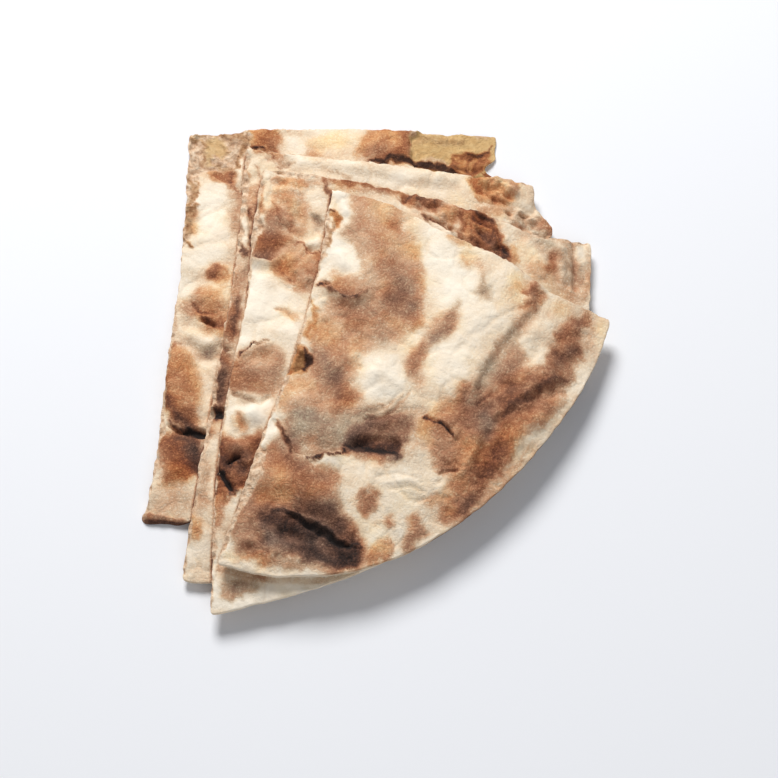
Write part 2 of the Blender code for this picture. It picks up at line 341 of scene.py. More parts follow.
def pale_skin(x, y, unseen, seed):
    """The finish of a pale skin, toasted by chance where the photograph doesn't show it."""
    finish = np.tile(LOOKS["cream"], (len(x), 1))
    finish[:, TOAST] += mottles(x, y, seed, (0.07, 11.0, 8), (0.03, 4.0, 9))
    patchy = mottles(x, y, seed, (0.6, 17.0, 10), (0.4, 7.0, 11), (0.1, 1.5, 12))
    for look, least, most in (("tan", 0.0, 0.35), ("brown", 0.15, 0.5), ("dark", 0.5, 0.75)):
        lay_on(finish, look, unseen * ease((patchy - least) / (most - least)))
    return finish


def toast_skin(finish, toasting, place, x, y, seed):
    """Lays the toasting and the painted shade on, each brown patch in a wider pale halo, and lets it fade
    out and cloud over.
    """
    for look, amount, soft, shape in toasting:
        if LOOKS[look][TOAST] > HALO_FROM:
            halo = HALO * amount * covered(*place, shape, 4.0 + 2.0 * soft)
            finish[:, TOAST] = np.maximum(finish[:, TOAST], halo)
    for look, amount, soft, shape in toasting:
        if LOOKS[look][BARE] == 0.0:
            lay_on(finish, look, amount * covered(*place, shape, BLUR * soft))
    fading = 0.40 * (1.0 - ease((finish[:, TOAST] - 0.6) / 0.25))
    finish += fading[:, None] * (blurred(finish, 10) - finish)
    clouds = mottles(x, y, seed, (0.7, 11.0, 34), (0.5, 5.2, 24), (0.3, 2.3, 25))
    finish[:, TOAST] += clouds * (0.02 + 0.34 * finish[:, TOAST] * (1.1 - finish[:, TOAST]))
    finish[:, WARMTH] += mottles(x, y, seed, (0.20, 9.0, 26), (0.10, 3.4, 27))


def stood_up(x, y, height, soft, shape, steep):
    """A ridge that rises at a step of the given steepness to the left of its line and falls off softly."""
    steps = 40
    line = evenly(np.array(shape, float), steps)
    away, where = distance_to(x, y, line)
    here = np.clip((where * steps).astype(int), 0, steps - 1)
    way = (line[1:] - line[:-1])[here]
    side = np.sign(way[:, 0] * (y - line[here, 1]) - way[:, 1] * (x - line[here, 0]))
    ends = ease(np.minimum(where, 1.0 - where) * 6.0)
    return height * ends * ease(side * away / steep + 0.5) * ease(1.0 - away / soft)


def skin_relief(x, y, toast, pebbles, relief, seed):
    """How far the upper skin stands up at its blisters, creases and cracks."""
    bent = x + 0.3 * mottle(x, y, 3.0, seed + 13), y + 0.3 * mottle(x, y, 3.0, seed + 14)
    raised = mottles(x, y, seed, (0.40, 8.0, 15), (0.22, 3.6, 16))
    for depth, sharpness, size, number in CREASES:
        raised -= depth * ease(1.0 - sharpness * abs(mottle(*bent, size, seed + number)))
    raised += (0.09 + 0.16 * ease(toast * 1.5)) * pebbles
    lumps = mottles(x, y, seed, (0.6, 2.8, 28), (0.4, 1.4, 29))
    for kind, height, soft, shape in relief:
        if kind in STEEPNESS:
            raised += stood_up(*bent, height, soft, shape, STEEPNESS[kind])
        else:
            raised += height * (lumps if kind == "lumps" else 1.0) * covered(*bent, shape, soft)
    return raised


def torn_back(x, y, cuts, ledges, seed):
    """Where the upper skin has torn back from a cut, by the widths at even steps along it."""
    torn = np.zeros(len(x))
    for cut, widths in zip(cuts, ledges):
        away, where = distance_to(x, y, evenly(cut, EDGE_STEPS // 2))
        width = np.interp(where, np.linspace(0.0, 1.0, len(widths)), widths)
        width = width * (1.0 + mottles(x, y, seed, (0.7, 6.0, 30), (0.35, 2.6, 19)))
        width += 0.35 * mottle(x, y, 1.2, seed + 20)
        torn = np.maximum(torn, ease((width - away) / 0.5 + 0.5) * (where < 0.985))
    return torn


def closed_slab(name):
    """A fine grid pulled down into a closed slab, with a row of cells in its wall for each pull."""
    bpy.ops.object.select_all(action="DESELECT")
    bpy.ops.mesh.primitive_grid_add(x_subdivisions=SKIN_CELLS[0], y_subdivisions=SKIN_CELLS[1], size=1.0)
    slab = bpy.context.object
    slab.name = slab.data.name = name
    bpy.ops.object.mode_set(mode="EDIT")
    bpy.ops.mesh.select_all(action="SELECT")
    for _ in range(WALL_ROWS):
        bpy.ops.mesh.extrude_region_move(TRANSFORM_OT_translate=dict(value=(0.0, 0.0, -1.0)))
    bpy.ops.mesh.select_all(action="SELECT")
    bpy.ops.mesh.normals_make_consistent(inside=False)
    bpy.ops.object.mode_set(mode="OBJECT")
    bpy.ops.object.shade_smooth()
    return slab


def bake_quarter(node, plan, ledges, above, toasting, relief, seed):
    """Shapes a slab into a quarter of the bread and paints its baking, with some painted shade.

    ledges: how far the upper skin has torn back along each cut, at even steps from the apex outwards
    above: the quarters that lie on it, each as (node, plan)
    toasting: (look, amount, softness, shape), painted in this order over a pale skin; some marks are painted
    shade
    relief: (kind, height, softness, shape), where a lip and a fold stand up to the left of their line"""
    across, down = SKIN_CELLS
    i, j = [line.ravel() for line in np.meshgrid(np.arange(across + 1), np.arange(down + 1), indexing="ij")]
    upper_edge, lower_edge, outwards, is_cut = edges_of(plan, seed)
    x, y = between_sides(upper_edge, i, j)
    under_x, under_y = between_sides(lower_edge, i, j)
    upper_samples, lower_samples = skin_samples(node)
    top, under = level(upper_samples, x, y), level(lower_samples, under_x, under_y)
    is_hidden, contact_shade, ceiling = lain_under(x, y, above)

    # Baking, with some painted shade among it, painted with wavy edges over a pale skin. Marks on the lower
    # lip darken the lower skin
    place = (x + mottles(x, y, seed, (1.5, 6.5, 4), (0.9, 2.4, 5), (0.6, 1.3, 35)),
             y + mottles(x, y, seed, (1.5, 6.5, 6), (0.9, 2.4, 7), (0.6, 1.3, 36)))
    inwards = np.minimum(np.minimum(i, across - i), np.minimum(j, down - j))
    finish = pale_skin(x, y, is_hidden, seed)
    finish_under = pale_skin(x, y, ease((inwards - 3.0) / 9.0), seed + 200)
    for mark_x, mark_y, reach, _ in plan.get("lower_lip", ()):
        lay_on(finish_under, "dark", ease(1.6 - np.hypot(x - mark_x, y - mark_y) / reach))
    toast_skin(finish, toasting, place, x, y, seed)
    # Painted shade along the foot of the quarter that lies on it, darker in uneven patches
    contact_shade_strength = np.clip(0.62 + mottles(x, y, seed, (0.5, 9.0, 37), (0.25, 3.1, 38)), 0.1, 1.0)
    lay_on(finish, "dark", contact_shade * contact_shade_strength)

    # Blisters, creases and cracks, and a step down to bare crumb where the upper skin has torn back
    pebbles = mottles(x, y, seed, (0.5, 1.5, 17), (0.5, 2.4, 18))
    raised = skin_relief(x, y, finish[:, TOAST], pebbles, relief, seed)
    torn = torn_back(x, y, outline(plan), ledges, seed)
    lay_on(finish, "crumb", torn)
    for look, amount, soft, shape in toasting:
        if LOOKS[look][BARE] > 0.0:
            lay_on(finish, look, amount * covered(*place, shape, soft))
    raised += torn * (-0.6 + 1.3 * mottles(x, y, seed, (0.35, 1.1, 21), (0.3, 2.3, 22)))
    # Painted shade: hollows are made darker in colour than what stands up
    hollow_shade = np.clip(blurred(raised, 12) - raised, -0.5, 1.2)
    finish[:, TOAST] += 0.11 * hollow_shade * (finish[:, BARE] < 0.5)
    under = np.maximum(under + 0.09 * pebbles, GAP_BELOW)
    top = np.maximum(np.minimum(top + raised, ceiling), under + LEAST_THICKNESS)

    # The slab takes this form. Its wall is crumb between two skins along the cuts, and crust along the rim
    slab = closed_slab(node + "_bread")
    raw = np.empty(len(slab.data.vertices) * 3, np.float32)
    slab.data.vertices.foreach_get("co", raw)
    raw = raw.reshape(-1, 3)
    i = np.rint((raw[:, 0] + 0.5) * across).astype(int)
    j = np.rint((raw[:, 1] + 0.5) * down).astype(int)
    row = np.rint(-raw[:, 2]).astype(int)
    spot = i * (down + 1) + j
    station = np.select([j == 0, i == across, j == down], [i, across + j, 2 * across + down - i],
                        2 * (across + down) - j) % len(outwards)
    is_wall = (row > 0) & (row < WALL_ROWS)
    slope = math.pi * row / WALL_ROWS
    lowered = 0.5 - 0.5 * np.cos(slope)
    x = x[spot] + lowered * (under_x - x)[spot]
    y = y[spot] + lowered * (under_y - y)[spot]
    height = top[spot] + lowered * (under - top)[spot]
    cut = is_cut[station]
    swell = cut * np.sin(slope) ** 0.4 * CUT_LIP + (1.0 - cut) * np.sin(slope) * RIM_LIP
    swell -= cut * np.sin(slope) * (0.35 + 0.35 * mottle(x + 7.0 * row, y, 1.2, seed + 23))
    x += is_wall * swell * outwards[station, 0]
    y += is_wall * swell * outwards[station, 1]
    finish = finish[spot] + ease(4.0 * lowered - 0.35)[:, None] * (finish_under - finish)[spot]
    lay_on(finish, "crumb", is_wall * cut * ease(np.sin(slope) * 2.0) * (finish[:, BARE] < 0.5))

    slab.data.vertices.foreach_set("co", (np.column_stack([x, y, height]) * MM).astype(np.float32).ravel())
    paint = slab.data.attributes.new("baking", "FLOAT_COLOR", "POINT")
    paint.data.foreach_set("color", np.column_stack([finish, np.ones(len(x))]).astype(np.float32).ravel())
    slab.data.update()
    return slab


def colour(red, green, blue):
    """Screen colours, 0 to 255, as the light values that a shader takes."""
    return [((c / 255 + 0.055) / 1.055) ** 2.4 if c > 10 else c / 3294.6 for c in (red, green, blue)] + [1.0]


skin_group = bpy.data.node_groups.new("baked skin", "ShaderNodeTree")


def place_node(tree, kind, sockets=(), **settings):
    """Adds a node. Sockets are (name or number, value or the output that feeds it)."""
    made = tree.nodes.new(kind)
    for setting, value in settings.items():
        setattr(made, setting, value)
    for socket, value in sockets:
        if isinstance(value, bpy.types.NodeSocket):
            tree.links.new(value, made.inputs[socket])
        else:
            made.inputs[socket].default_value = value
    return made


def worked_out(operation, *values, clamp=False):
    made = place_node(skin_group, "ShaderNodeMath", enumerate(values), operation=operation, use_clamp=clamp)
    return made.outputs[0]


def plus(first, second, clamp=False):
    return worked_out("ADD", first, second, clamp=clamp)


def less(first, second, clamp=False):
    return worked_out("SUBTRACT", first, second, clamp=clamp)


def times(first, second, clamp=False):
    return worked_out("MULTIPLY", first, second, clamp=clamp)


def mixed(share, first, second):
    sockets = (0, share), (6, first), (7, second)
    return place_node(skin_group, "ShaderNodeMix", sockets, data_type="RGBA").outputs[2]


def ramp(value, stops):
    made = place_node(skin_group, "ShaderNodeValToRGB", ((0, value),))
    band = made.color_ramp
    for number, (position, shade) in enumerate(stops):
        stop = band.elements[number] if number < 2 else band.elements.new(position)
        stop.position, stop.color = position, colour(*shade)
    return made.outputs[0]


def noise(scale, detail, roughness):
    place = given.outputs["Place"]
    sockets = ("Vector", place), ("Scale", scale), ("Detail", detail), ("Roughness", roughness)
    return place_node(skin_group, "ShaderNodeTexNoise", sockets).outputs[0]


# Brown, grey and orange toasting, each from floury to charred
TOASTED = (
    (0.00, (242, 229, 209)), (0.15, (230, 207, 177)), (0.32, (210, 170, 136)), (0.50, (184, 132, 98)),
    (0.66, (150, 98, 70)), (0.82, (104, 64, 47)), (1.00, (40, 28, 25)),
)
ASHEN = (
    (0.00, (238, 230, 214)), (0.15, (218, 205, 184)), (0.32, (190, 171, 144)), (0.50, (154, 129, 108)),
    (0.66, (118, 92, 78)), (0.82, (82, 62, 53)), (1.00, (36, 29, 27)),
)
GOLDEN = (
    (0.00, (246, 235, 208)), (0.15, (240, 214, 168)), (0.32, (230, 186, 134)), (0.50, (208, 148, 98)),
    (0.66, (176, 106, 62)), (0.82, (132, 70, 42)), (1.00, (60, 34, 26)),
)
# Bare crumb and the yellow lining of a burst blister, each from deep pores to what stands up
TAN_CRUMB = (
    (0.00, (60, 36, 26)), (0.15, (120, 80, 58)), (0.32, (170, 128, 98)), (0.50, (206, 170, 138)),
    (0.64, (226, 198, 168)), (0.85, (242, 224, 198)),
)
YELLOW_LINING = (
    (0.00, (70, 38, 14)), (0.15, (128, 78, 30)), (0.32, (170, 124, 68)), (0.50, (201, 163, 110)),
    (0.64, (214, 182, 130)), (0.85, (232, 206, 164)),
)

for socket, kind in (("Place", "NodeSocketVector"), ("Baking", "NodeSocketColor")):
    skin_group.interface.new_socket(socket, in_out="INPUT", socket_type=kind)
for socket, kind in (("Color", "NodeSocketColor"), ("Roughness", "NodeSocketFloat"),
                     ("Height", "NodeSocketFloat")):
    skin_group.interface.new_socket(socket, in_out="OUTPUT", socket_type=kind)
given = skin_group.nodes.new("NodeGroupInput")
finish_parts = place_node(skin_group, "ShaderNodeSeparateColor", ((0, given.outputs["Baking"]),))
toast, warmth, bare = finish_parts.outputs
specks, pebbles, clouds = noise(1200.0, 3.0, 0.7), noise(760.0, 3.0, 0.65), noise(170.0, 3.0, 0.6)
# Toasted skin is speckled, because its high spots brown first and flour stays in its low ones
uneven = 0.12
for pattern, middle, strength, clamp in (
    (specks, 0.5, 2.6, False), (pebbles, 0.5, 1.0, False), (clouds, 0.5, 0.9, False),
    (specks, 0.56, -5.0, True), (pebbles, 0.54, -3.6, True),
):
    uneven = plus(uneven, times(less(pattern, middle, clamp), strength))
lively = worked_out("MULTIPLY_ADD", times(toast, less(1.15, toast)), 0.90, 0.035)
speckled = plus(toast, times(uneven, lively), clamp=True)
greyer = mixed(times(warmth, 2.0, clamp=True), ramp(speckled, ASHEN), ramp(speckled, TOASTED))
is_warm = times(less(warmth, 0.5, clamp=True), 2.0, clamp=True)
baked = mixed(is_warm, greyer, ramp(speckled, GOLDEN))
# Bare crumb is full of pores, and darker where it is toasted
pores = times(less(noise(480.0, 4.0, 0.6), 0.5), less(1.0, times(is_warm, 0.6)))
openness = plus(pores, times(less(toast, 0.94), -0.9))
baked = mixed(bare, baked, mixed(is_warm, ramp(openness, TAN_CRUMB), ramp(openness, YELLOW_LINING)))
roughened = times(plus(times(pebbles, 0.7), times(specks, 0.5)), plus(times(speckled, 0.9), 0.35))
height = plus(roughened, times(times(pores, bare), 1.2))
dryness = plus(times(speckled, -0.16), 0.92)
place_node(skin_group, "NodeGroupOutput", (("Color", baked), ("Roughness", dryness), ("Height", height)))


def bread(name):
    """Dry baked bread, whose colour follows the painted baking."""
    material = bpy.data.materials.new(name)
    material.use_nodes = True
    tree = material.node_tree
    shader = tree.nodes["Principled BSDF"]
    shader.inputs["Specular IOR Level"].default_value = 0.22
    painted = place_node(tree, "ShaderNodeAttribute", attribute_name="baking")
    places = place_node(tree, "ShaderNodeTexCoord")
    group = place_node(tree, "ShaderNodeGroup", node_tree=skin_group)
    tree.links.new(places.outputs["Object"], group.inputs["Place"])
    tree.links.new(painted.outputs["Color"], group.inputs["Baking"])
    bump = place_node(tree, "ShaderNodeBump", (("Strength", 1.0), ("Distance", 0.0009),
                                               ("Height", group.outputs["Height"])))
    tree.links.new(group.outputs["Color"], shader.inputs["Base Color"])
    tree.links.new(group.outputs["Roughness"], shader.inputs["Roughness"])
    tree.links.new(bump.outputs[0], shader.inputs["Normal"])
    return material


# The plan of each quarter. A cut has its bearing, its length and how far it strays to the left. The rim has
# its bearing and its pull where it leaves the left cut and where it arrives at the right one. Tears push the
# edge out or in, and marks on the lower lip push the lower skin's edge out and darken it.
BOTTOM = dict(
    apex=(-72.4, 94.8),
    left_cut=(-93.1, 154.2, (1.6, 2.5, 1.8, 1.5)),
    right_cut=(0.2, 114.8, (1.6, 1.6, 0.8)),
    rim=(-8.3, 86.7, 93.9, 107.0),
    tears=((46, 88, 7, -3.0), (45.5, 80.5, 6.5, -10.5), (-76, 47, 4, 0.8)),
    lower_lip=((-81, -59, 9, 3.6), (-72, -61, 9, 3.0)),
)
THIRD = dict(
    apex=(-50.9, 85.0),
    left_cut=(-95.6, 167.7, (2.2, 2.7, 1.4, 0.6)),
    right_cut=(-7.5, 106.7, (-0.4, -0.6, -1.4)),
    rim=(-8.0, 114.0, 106.0, 44.0),
    tears=((59, 53, 9, 4.5), (57, 64, 6, -1.0)),
)
SECOND = dict(
    apex=(-44.1, 73.5),
    left_cut=(-94.4, 169.2, (-0.8, 0.2, -2.4, -3.4, -2.0)),
    right_cut=(-12.4, 122.0, (1.5, 2.0, 1.6, -0.1, -2.1, -4.8)),
    rim=(7.3, 35.9, 91.0, 108.9),
)
TOP = dict(
    apex=(-18.8, 61.9),
    left_cut=(-104.3, 146.4, (3.2, 4.4, 4.4, 2.8, 1.6)),
    right_cut=(-26.1, 110.3, (4.0, 1.6, 1.6, -2.0)),
    rim=(-20.1, 76.0, 79.4, 32.7),
    # these marks push nothing and only darken the lower skin along the rim, a dark line at the rim's foot
    lower_lip=((70, -14, 7, 0.0), (63, -25, 7, 0.0), (55, -36, 7, 0.0), (45, -47, 7, 0.0), (34, -59, 7, 0.0),
               (22, -69, 7, 0.0)),
)

quarter_bottom = bake_quarter(
    "quarter_bottom", BOTTOM,
    ledges=((2.2, 2.6, 3, 3, 2.4, 0.3, 0.4, 0.8, 1.2, 0.8, 0.5, 1.2, 1.4, 1.4, 1, 0.6), (0.3, 0.2, 0.2)),
    above=(("quarter_third", THIRD), ("quarter_second", SECOND), ("quarter_top", TOP)),
    toasting=(
        ("white", 0.8, 8, ((-62, 70, 5), (-63, 45, 6), (-70, 40, 5), (-72, 28, 4))),
        # painted shade at the foot of the third quarter, along the strip's right side
        ("tan", 0.85, 3.6, ((-54, 68, 1.5), (-54.5, 60, 2), (-53, 52, 1.2))),
        # the tan inside of a burst blister at the apex, and the brown pocket below it
        ("orange", 0.9, 1.2, ((-66.5, 79.5), (-62, 80.5), (-57, 80.5), (-54, 77), (-53, 69), (-55, 69.5),
            (-57.5, 72.5), (-61.5, 75))),
        ("brown", 0.35, 1.6, ((-61, 78, 1.6), (-57, 76, 1.8), (-55, 73, 1))),
        ("dark", 0.6, 0.7, ((-66, 79.8, 0.2), (-61, 80.4, 0.4), (-57, 79.4, 0.4), (-55.4, 75, 0.3),
            (-54, 69, 0.3))),
        ("brown", 0.6, 1.4, ((-53.8, 72, 1), (-52.5, 64, 1), (-53.5, 58, 0.8))),
        ("orange", 0.7, 1.8, ((-68.5, 58.5, 1.2), (-69, 53.5, 1.6))),
        ("crumb", 1, 1, ((-73.5, 98), (-49, 98), (-50, 90), (-53, 80), (-58, 78.7), (-64, 79), (-67, 77.5),
            (-69, 76), (-74, 76))),
        ("lining", 0.80, 3.4, ((-66.5, 91.5), (-63, 94), (-58.5, 91.5), (-57.5, 87), (-59.5, 83),
            (-63, 80.5), (-65.5, 83), (-65, 87))),
        ("lining", 0.5, 2.4, ((-70, 93, 1), (-67, 95, 1))),
        ("toasted_crumb", 0.7, 1.6, ((-66.4, 88.5, 0.7), (-65.6, 84, 0.9), (-66, 81, 0.8))),
        ("crumb", 0.95, 1.2, ((-62, 84.4, 1.5), (-59.5, 82.2, 1.4))),
        ("crumb", 0.9, 1.6, ((-70.4, 86, 1.6), (-69, 82, 1.6))),
        ("toasted_crumb", 0.8, 2, ((-70, 96.5, 1.2), (-62, 96, 1.6), (-54, 95.5, 1.8), (-51, 92, 1.6))),
        ("toasted_crumb", 0.9, 1.4, ((-52.4, 90, 1), (-53.4, 84, 1), (-53.4, 80.5, 0.8))),
        ("dark_crumb", 0.8, 1, ((-71, 91.5, 0.6), (-67.5, 91.5, 0.6), (-65, 89.5, 0.6))),
        ("dark_crumb", 0.7, 1, ((-60, 89.6, 0.3), (-56.8, 88.8, 0.6))),
        ("dark_crumb", 0.5, 1.4, ((-60, 95, 0.8), (-57, 93, 0.9))),
        ("toasted_crumb", 0.8, 1.4, ((-61.5, 82, 0.5), (-58, 79.8, 0.9), (-54.5, 80.5, 0.8))),
        ("toasted_crumb", 0.9, 1.4, ((-71.2, 75, 1.4), (-69.8, 70, 1.4), (-69.8, 62, 1.2), (-71, 52, 1.2))),
        ("dark_crumb", 0.8, 0.8, ((-68.3, 74.5, 0.3), (-68.2, 68, 0.3), (-69, 61, 0.3))),
        ("dark_crumb", 0.9, 0.9, ((-73, 49.5, 0.4), (-71.5, 47.6, 0.7), (-70, 47.2, 0.6))),
        # toasted and folded patches of the left strip
        ("orange", 0.8, 2.4, ((-64, 32), (-63.5, 36), (-60, 39.5), (-55, 40), (-55, 33), (-60, 31.5))),
        ("red_brown", 0.85, 2, ((-62, 34, 1.6), (-59, 37, 1.8), (-57.5, 37, 1.4))),
        ("grey", 0.45, 4, ((-70, 37, 1.5), (-67, 34, 2))),
        ("yellow", 0.5, 3, ((-73, 20, 1.4), (-70, 24, 1.6))),
        ("brown", 0.80, 3.4, ((-73, 22), (-69, 24), (-66, 29), (-61, 28), (-57, 31), (-55, 13), (-59, 14),
            (-62, 11.5), (-65, 16), (-69, 17))),
        ("orange", 0.6, 3, ((-64, 27, 1.8), (-59, 26, 2.2))),
        ("red_brown", 0.7, 2.6, ((-67, 19, 1.4), (-62, 16, 2.4), (-57, 14, 3))),
        ("dark", 0.8, 1, ((-68.5, 23.6, 0.2), (-66.4, 20, 0.4), (-63.5, 18.4, 0.5), (-59.5, 18.6, 0.3))),
        ("dark", 0.55, 2.2, ((-62, 15, 0.8), (-57, 15.5, 1.8))),
        ("char_and_shade", 0.7, 0.9, ((-64.4, 15.7, 0.3), (-62.6, 15.1, 0.6), (-61, 15.6, 0.4))),
        # painted shade in the valley of a wrinkle
        ("grey", 0.75, 4, ((-67, 7, 2), (-62, 3, 3), (-58, 6, 2.6))),
        ("grey_brown", 0.55, 3, ((-64, 1.5, 0.8), (-60, 3, 1.8), (-58, 7, 1.6))),
        ("pink", 0.35, 3, ((-72, 11, 1.4), (-70, 8, 1.4))),
        ("orange", 0.95, 2.8, ((-78.5, 9), (-75, 6.5), (-70.5, 3), (-66, -1), (-63, -7), (-62.5, -14),
            (-63.5, -21), (-66, -26), (-71, -26), (-76, -21), (-79, -13))),
        ("brown", 0.65, 4, ((-76, -4, 2), (-72, -10, 5), (-68, -19, 3.5))),
        ("red_brown", 0.8, 3, ((-77, -10, 1.4), (-75, -17, 2.4), (-71, -22, 3.4), (-66.5, -23, 2.6))),
        # the dark along the puff's lower edge is partly toasting and partly painted shade under the puff
        ("dark", 0.85, 2.6, ((-76, -15, 0.8), (-74.5, -19, 1.6), (-70.5, -24.2, 1.8), (-66, -25.2, 1.6))),
        ("dark", 0.6, 0.9, ((-77, 3, 0.3), (-74.6, 4.4, 0.3), (-73.4, 6.6, 0.3), (-71, 6, 0.25))),
        ("red_brown", 0.95, 2.6, ((-80, -29), (-76, -27.5), (-66, -28), (-63, -32), (-63, -46), (-69, -47.8),
            (-75.5, -46.5), (-75, -40), (-78, -37))),
        ("rust", 1, 3, ((-73, -33, 2.5), (-69, -39, 4), (-68, -44, 2.5))),
        ("dark", 0.95, 4, ((-70, -30.5, 2), (-66, -33, 3), (-64.5, -41, 2.4))),
        ("orange", 0.5, 2.4, ((-77.5, -33, 1.2), (-75, -38, 1.4), (-72, -44, 1.2))),
        ("rust", 0.6, 2.4, ((-72, -37, 2.2), (-70, -43, 2.6))),
        ("tan", 0.6, 2.5, ((-79.5, -34, 1.2), (-78, -40, 1.5))),
        ("grey", 0.75, 4, ((-78, -52, 3), (-68, -53, 4))),
        ("tan", 0.45, 4, ((-76, -56, 2), (-70, -50, 2))),
        ("grey_brown", 0.9, 0.8, ((-83.5, -58.2, 1.2), (-77, -59.2, 1.2), (-70, -60.4, 1.2),
            (-63, -61.4, 1.2))),
        ("brown", 0.8, 0.8, ((-83.5, -59, 0.8), (-77, -60.2, 0.8), (-70, -61.4, 0.8), (-63, -62.4, 0.8))),
        ("char_and_shade", 1, 1, ((-75, -24.4, 0.2), (-72, -26.2, 0.5), (-70, -27.9, 0.6), (-67.6, -27, 1.3),
            (-65, -28.2, 1.1), (-62, -28.5, 1.5))),
        # the upper strip: puffed orange skin, a floury hollow, and a blister that burst and left its lining
        ("orange", 1, 1.5, ((-51, 98.5), (-40, 98.5), (-38.5, 93), (-38.5, 87), (-42, 84), (-48, 87),
            (-50.5, 92))),
        ("red_brown", 0.6, 2, ((-47, 93, 1.6), (-43, 90, 2), (-41, 87, 1))),
        ("char_and_shade", 0.95, 0.8, ((-50, 89.2, 0.3), (-47.5, 87.8, 0.6), (-45, 86.6, 0.4))),
        ("tan", 0.5, 3, ((-36, 96, 1.5), (-30, 96, 1))),
        ("yellow", 0.9, 2.6, ((-26, 90, 2), (-23.5, 89, 2.4), (-15, 92, 2))),
        ("tan", 0.95, 2, ((-29, 86.5), (-26, 87), (-21, 85.5), (-20, 79), (-29, 79))),
        ("orange", 1, 2.2, ((-11, 88), (-7, 92), (-2, 99), (5, 99), (9.6, 97), (9.6, 86), (8, 80),
            (-8, 82))),
        ("red_brown", 0.85, 2.6, ((7, 95, 1.6), (7.5, 88, 2.4), (5, 84, 2.4), (-2, 83.5, 1.6))),
        ("brown", 0.7, 3, ((-6, 86, 2), (0, 88, 3))),
        ("lining", 1, 0.8, ((9.4, 99), (9.6, 86), (11, 79), (24, 74), (36, 74), (48, 74), (48, 99))),
        ("toasted_crumb", 0.35, 2, ((11, 92, 1), (20, 93.5, 1), (30, 92.5, 1))),
        ("crumb", 0.6, 1.6, ((13, 84, 1.2), (18, 86, 1.6), (23, 81, 1.4))),
        ("crumb", 0.6, 1, ((15.5, 95.4, 0.7), (20, 95.8, 0.7))),
        ("crumb", 0.6, 1, ((34, 95.8, 0.8), (38, 95, 0.8))),
        ("rust_crumb", 1, 1.4, ((22, 81), (25, 84), (26, 87.5), (29, 85.5), (31, 88.5), (35, 87), (38, 89.5),
            (41, 86), (38, 80), (34, 74), (26, 74), (21, 77))),
        ("orange_crumb", 0.9, 1.4, ((27, 85, 0.8), (30, 82.4, 1.2), (29, 78, 1.4))),
        ("orange_crumb", 0.8, 1.2, ((34.5, 84.6, 0.8), (33, 80.5, 0.9))),
        ("burnt_and_shaded_crumb", 0.65, 1, ((32, 86.4, 0.5), (36, 86.4, 0.8), (39.5, 88, 0.5), (40.6, 91, 0.5))),
        # painted shadow: the dark gap along the foot of the third quarter's upper edge
        ("burnt_and_shaded_crumb", 0.5, 1.2, ((24, 81.5, 0.6), (27, 81, 0.6), (31, 79.5, 0.7))),
        ("burnt_and_shaded_crumb", 1, 1.4, ((-6, 81, 0.8), (3, 82, 1.4), (9, 83.4, 1.7), (14, 83, 2.4), (20, 81, 2.2),
            (25, 77.5, 1.6))),
        ("rust_crumb", 1, 1, ((39, 77, 1.6), (43, 77, 2.4), (46, 76, 3), (50, 74, 4))),
        ("burnt_and_shaded_crumb", 0.7, 1, ((46, 77.6, 0.6), (48.4, 74.4, 0.6))),
    ),
    relief=(
        # the step down into the burst blister at the apex, and what stands up in it
        ("rise", -1.2, 1.4, ((-72, 96), (-50, 97), (-50, 90), (-53, 80), (-58, 78.7), (-64, 79), (-67, 77.5),
            (-70, 76), (-72, 76))),
        ("lumps", 0.9, 1.6, ((-73, 99), (-49, 99), (-50, 90), (-53, 80), (-70, 80), (-73, 88))),
        ("lumps", 0.8, 1.6, ((-74, 77), (-67.5, 76), (-68.5, 60), (-70, 46), (-76, 46))),
        ("rise", -1.2, 1.4, ((-64, 78), (-55, 79), (-53, 76), (-56, 73), (-61, 75))),
        ("rise", 0.9, 1.6, ((-62, 84.6, 1.2), (-59.5, 82.4, 1.2))),
        ("rise", 0.9, 1.6, ((-70.4, 87, 1.2), (-69, 82, 1.2))),
        ("rise", 0.8, 1.6, ((-56, 92, 1.2), (-55, 86, 1.4))),
        # the step down to the lining on the upper strip, and the crust curled up in it
        ("rise", -2.1, 1.2, ((9.6, 96), (9.6, 86), (11, 79), (24, 74), (36, 74), (50, 76), (50, 99),
            (30, 97))),
        ("rise", 0.9, 2, ((24, 84), (26, 87.5), (30, 88.5), (38, 89), (41, 86), (38, 80), (34, 74), (26, 74),
            (22, 77), (23, 81))),
        ("lumps", 1.9, 1.6, ((22, 76), (24, 87.5), (39, 90), (41, 84), (35, 74))),
        ("rise", 0.7, 2, ((13, 95, 0.8), (20, 93, 1.2), (29, 92.5, 0.8))),
        ("rise", -0.6, 1, ((25, 97, 0.3), (24, 92, 0.4), (25.5, 89, 0.3))),
        # puffed skin on the upper strip
        ("rise", 1.3, 7, ((-6, 87, 2), (1, 90, 4), (4, 87, 3))),
        ("rise", 1, 5, ((-45, 92, 3), (-42, 90, 2))),
        # the cracks and blisters of the left strip
        ("rise", -2.4, 1.4, ((-74, -25.2, 0.2), (-70.5, -27.4, 0.6), (-67, -27.6, 1.2), (-62, -28.5, 1.6))),
        ("rise", -2, 1.4, ((-64.5, 15.8, 0.5), (-62.5, 15.2, 0.9), (-60, 14, 0.8))),
        ("rise", -1, 1.2, ((-68.5, 23.6, 0.2), (-66.4, 20, 0.3), (-63.5, 18.4, 0.4), (-59.5, 18.6, 0.3))),
        ("rise", 1.6, 6, ((-68, 26, 1.5), (-62, 25, 3), (-58, 24, 2.5))),
        ("rise", -1.2, 4, ((-69, 14, 1.5), (-62, 11, 2))),
        ("rise", -1.6, 6, ((-68, 6, 1.5), (-62, 2, 2.5))),
        ("rise", 2.2, 8, ((-72, 1, 3), (-71, -10, 5.5), (-69, -18, 4.5))),
        ("rise", -0.8, 0.9, ((-77, 3, 0.2), (-74.6, 4.4, 0.2), (-73.4, 6.6, 0.2), (-71, 6, 0.15))),
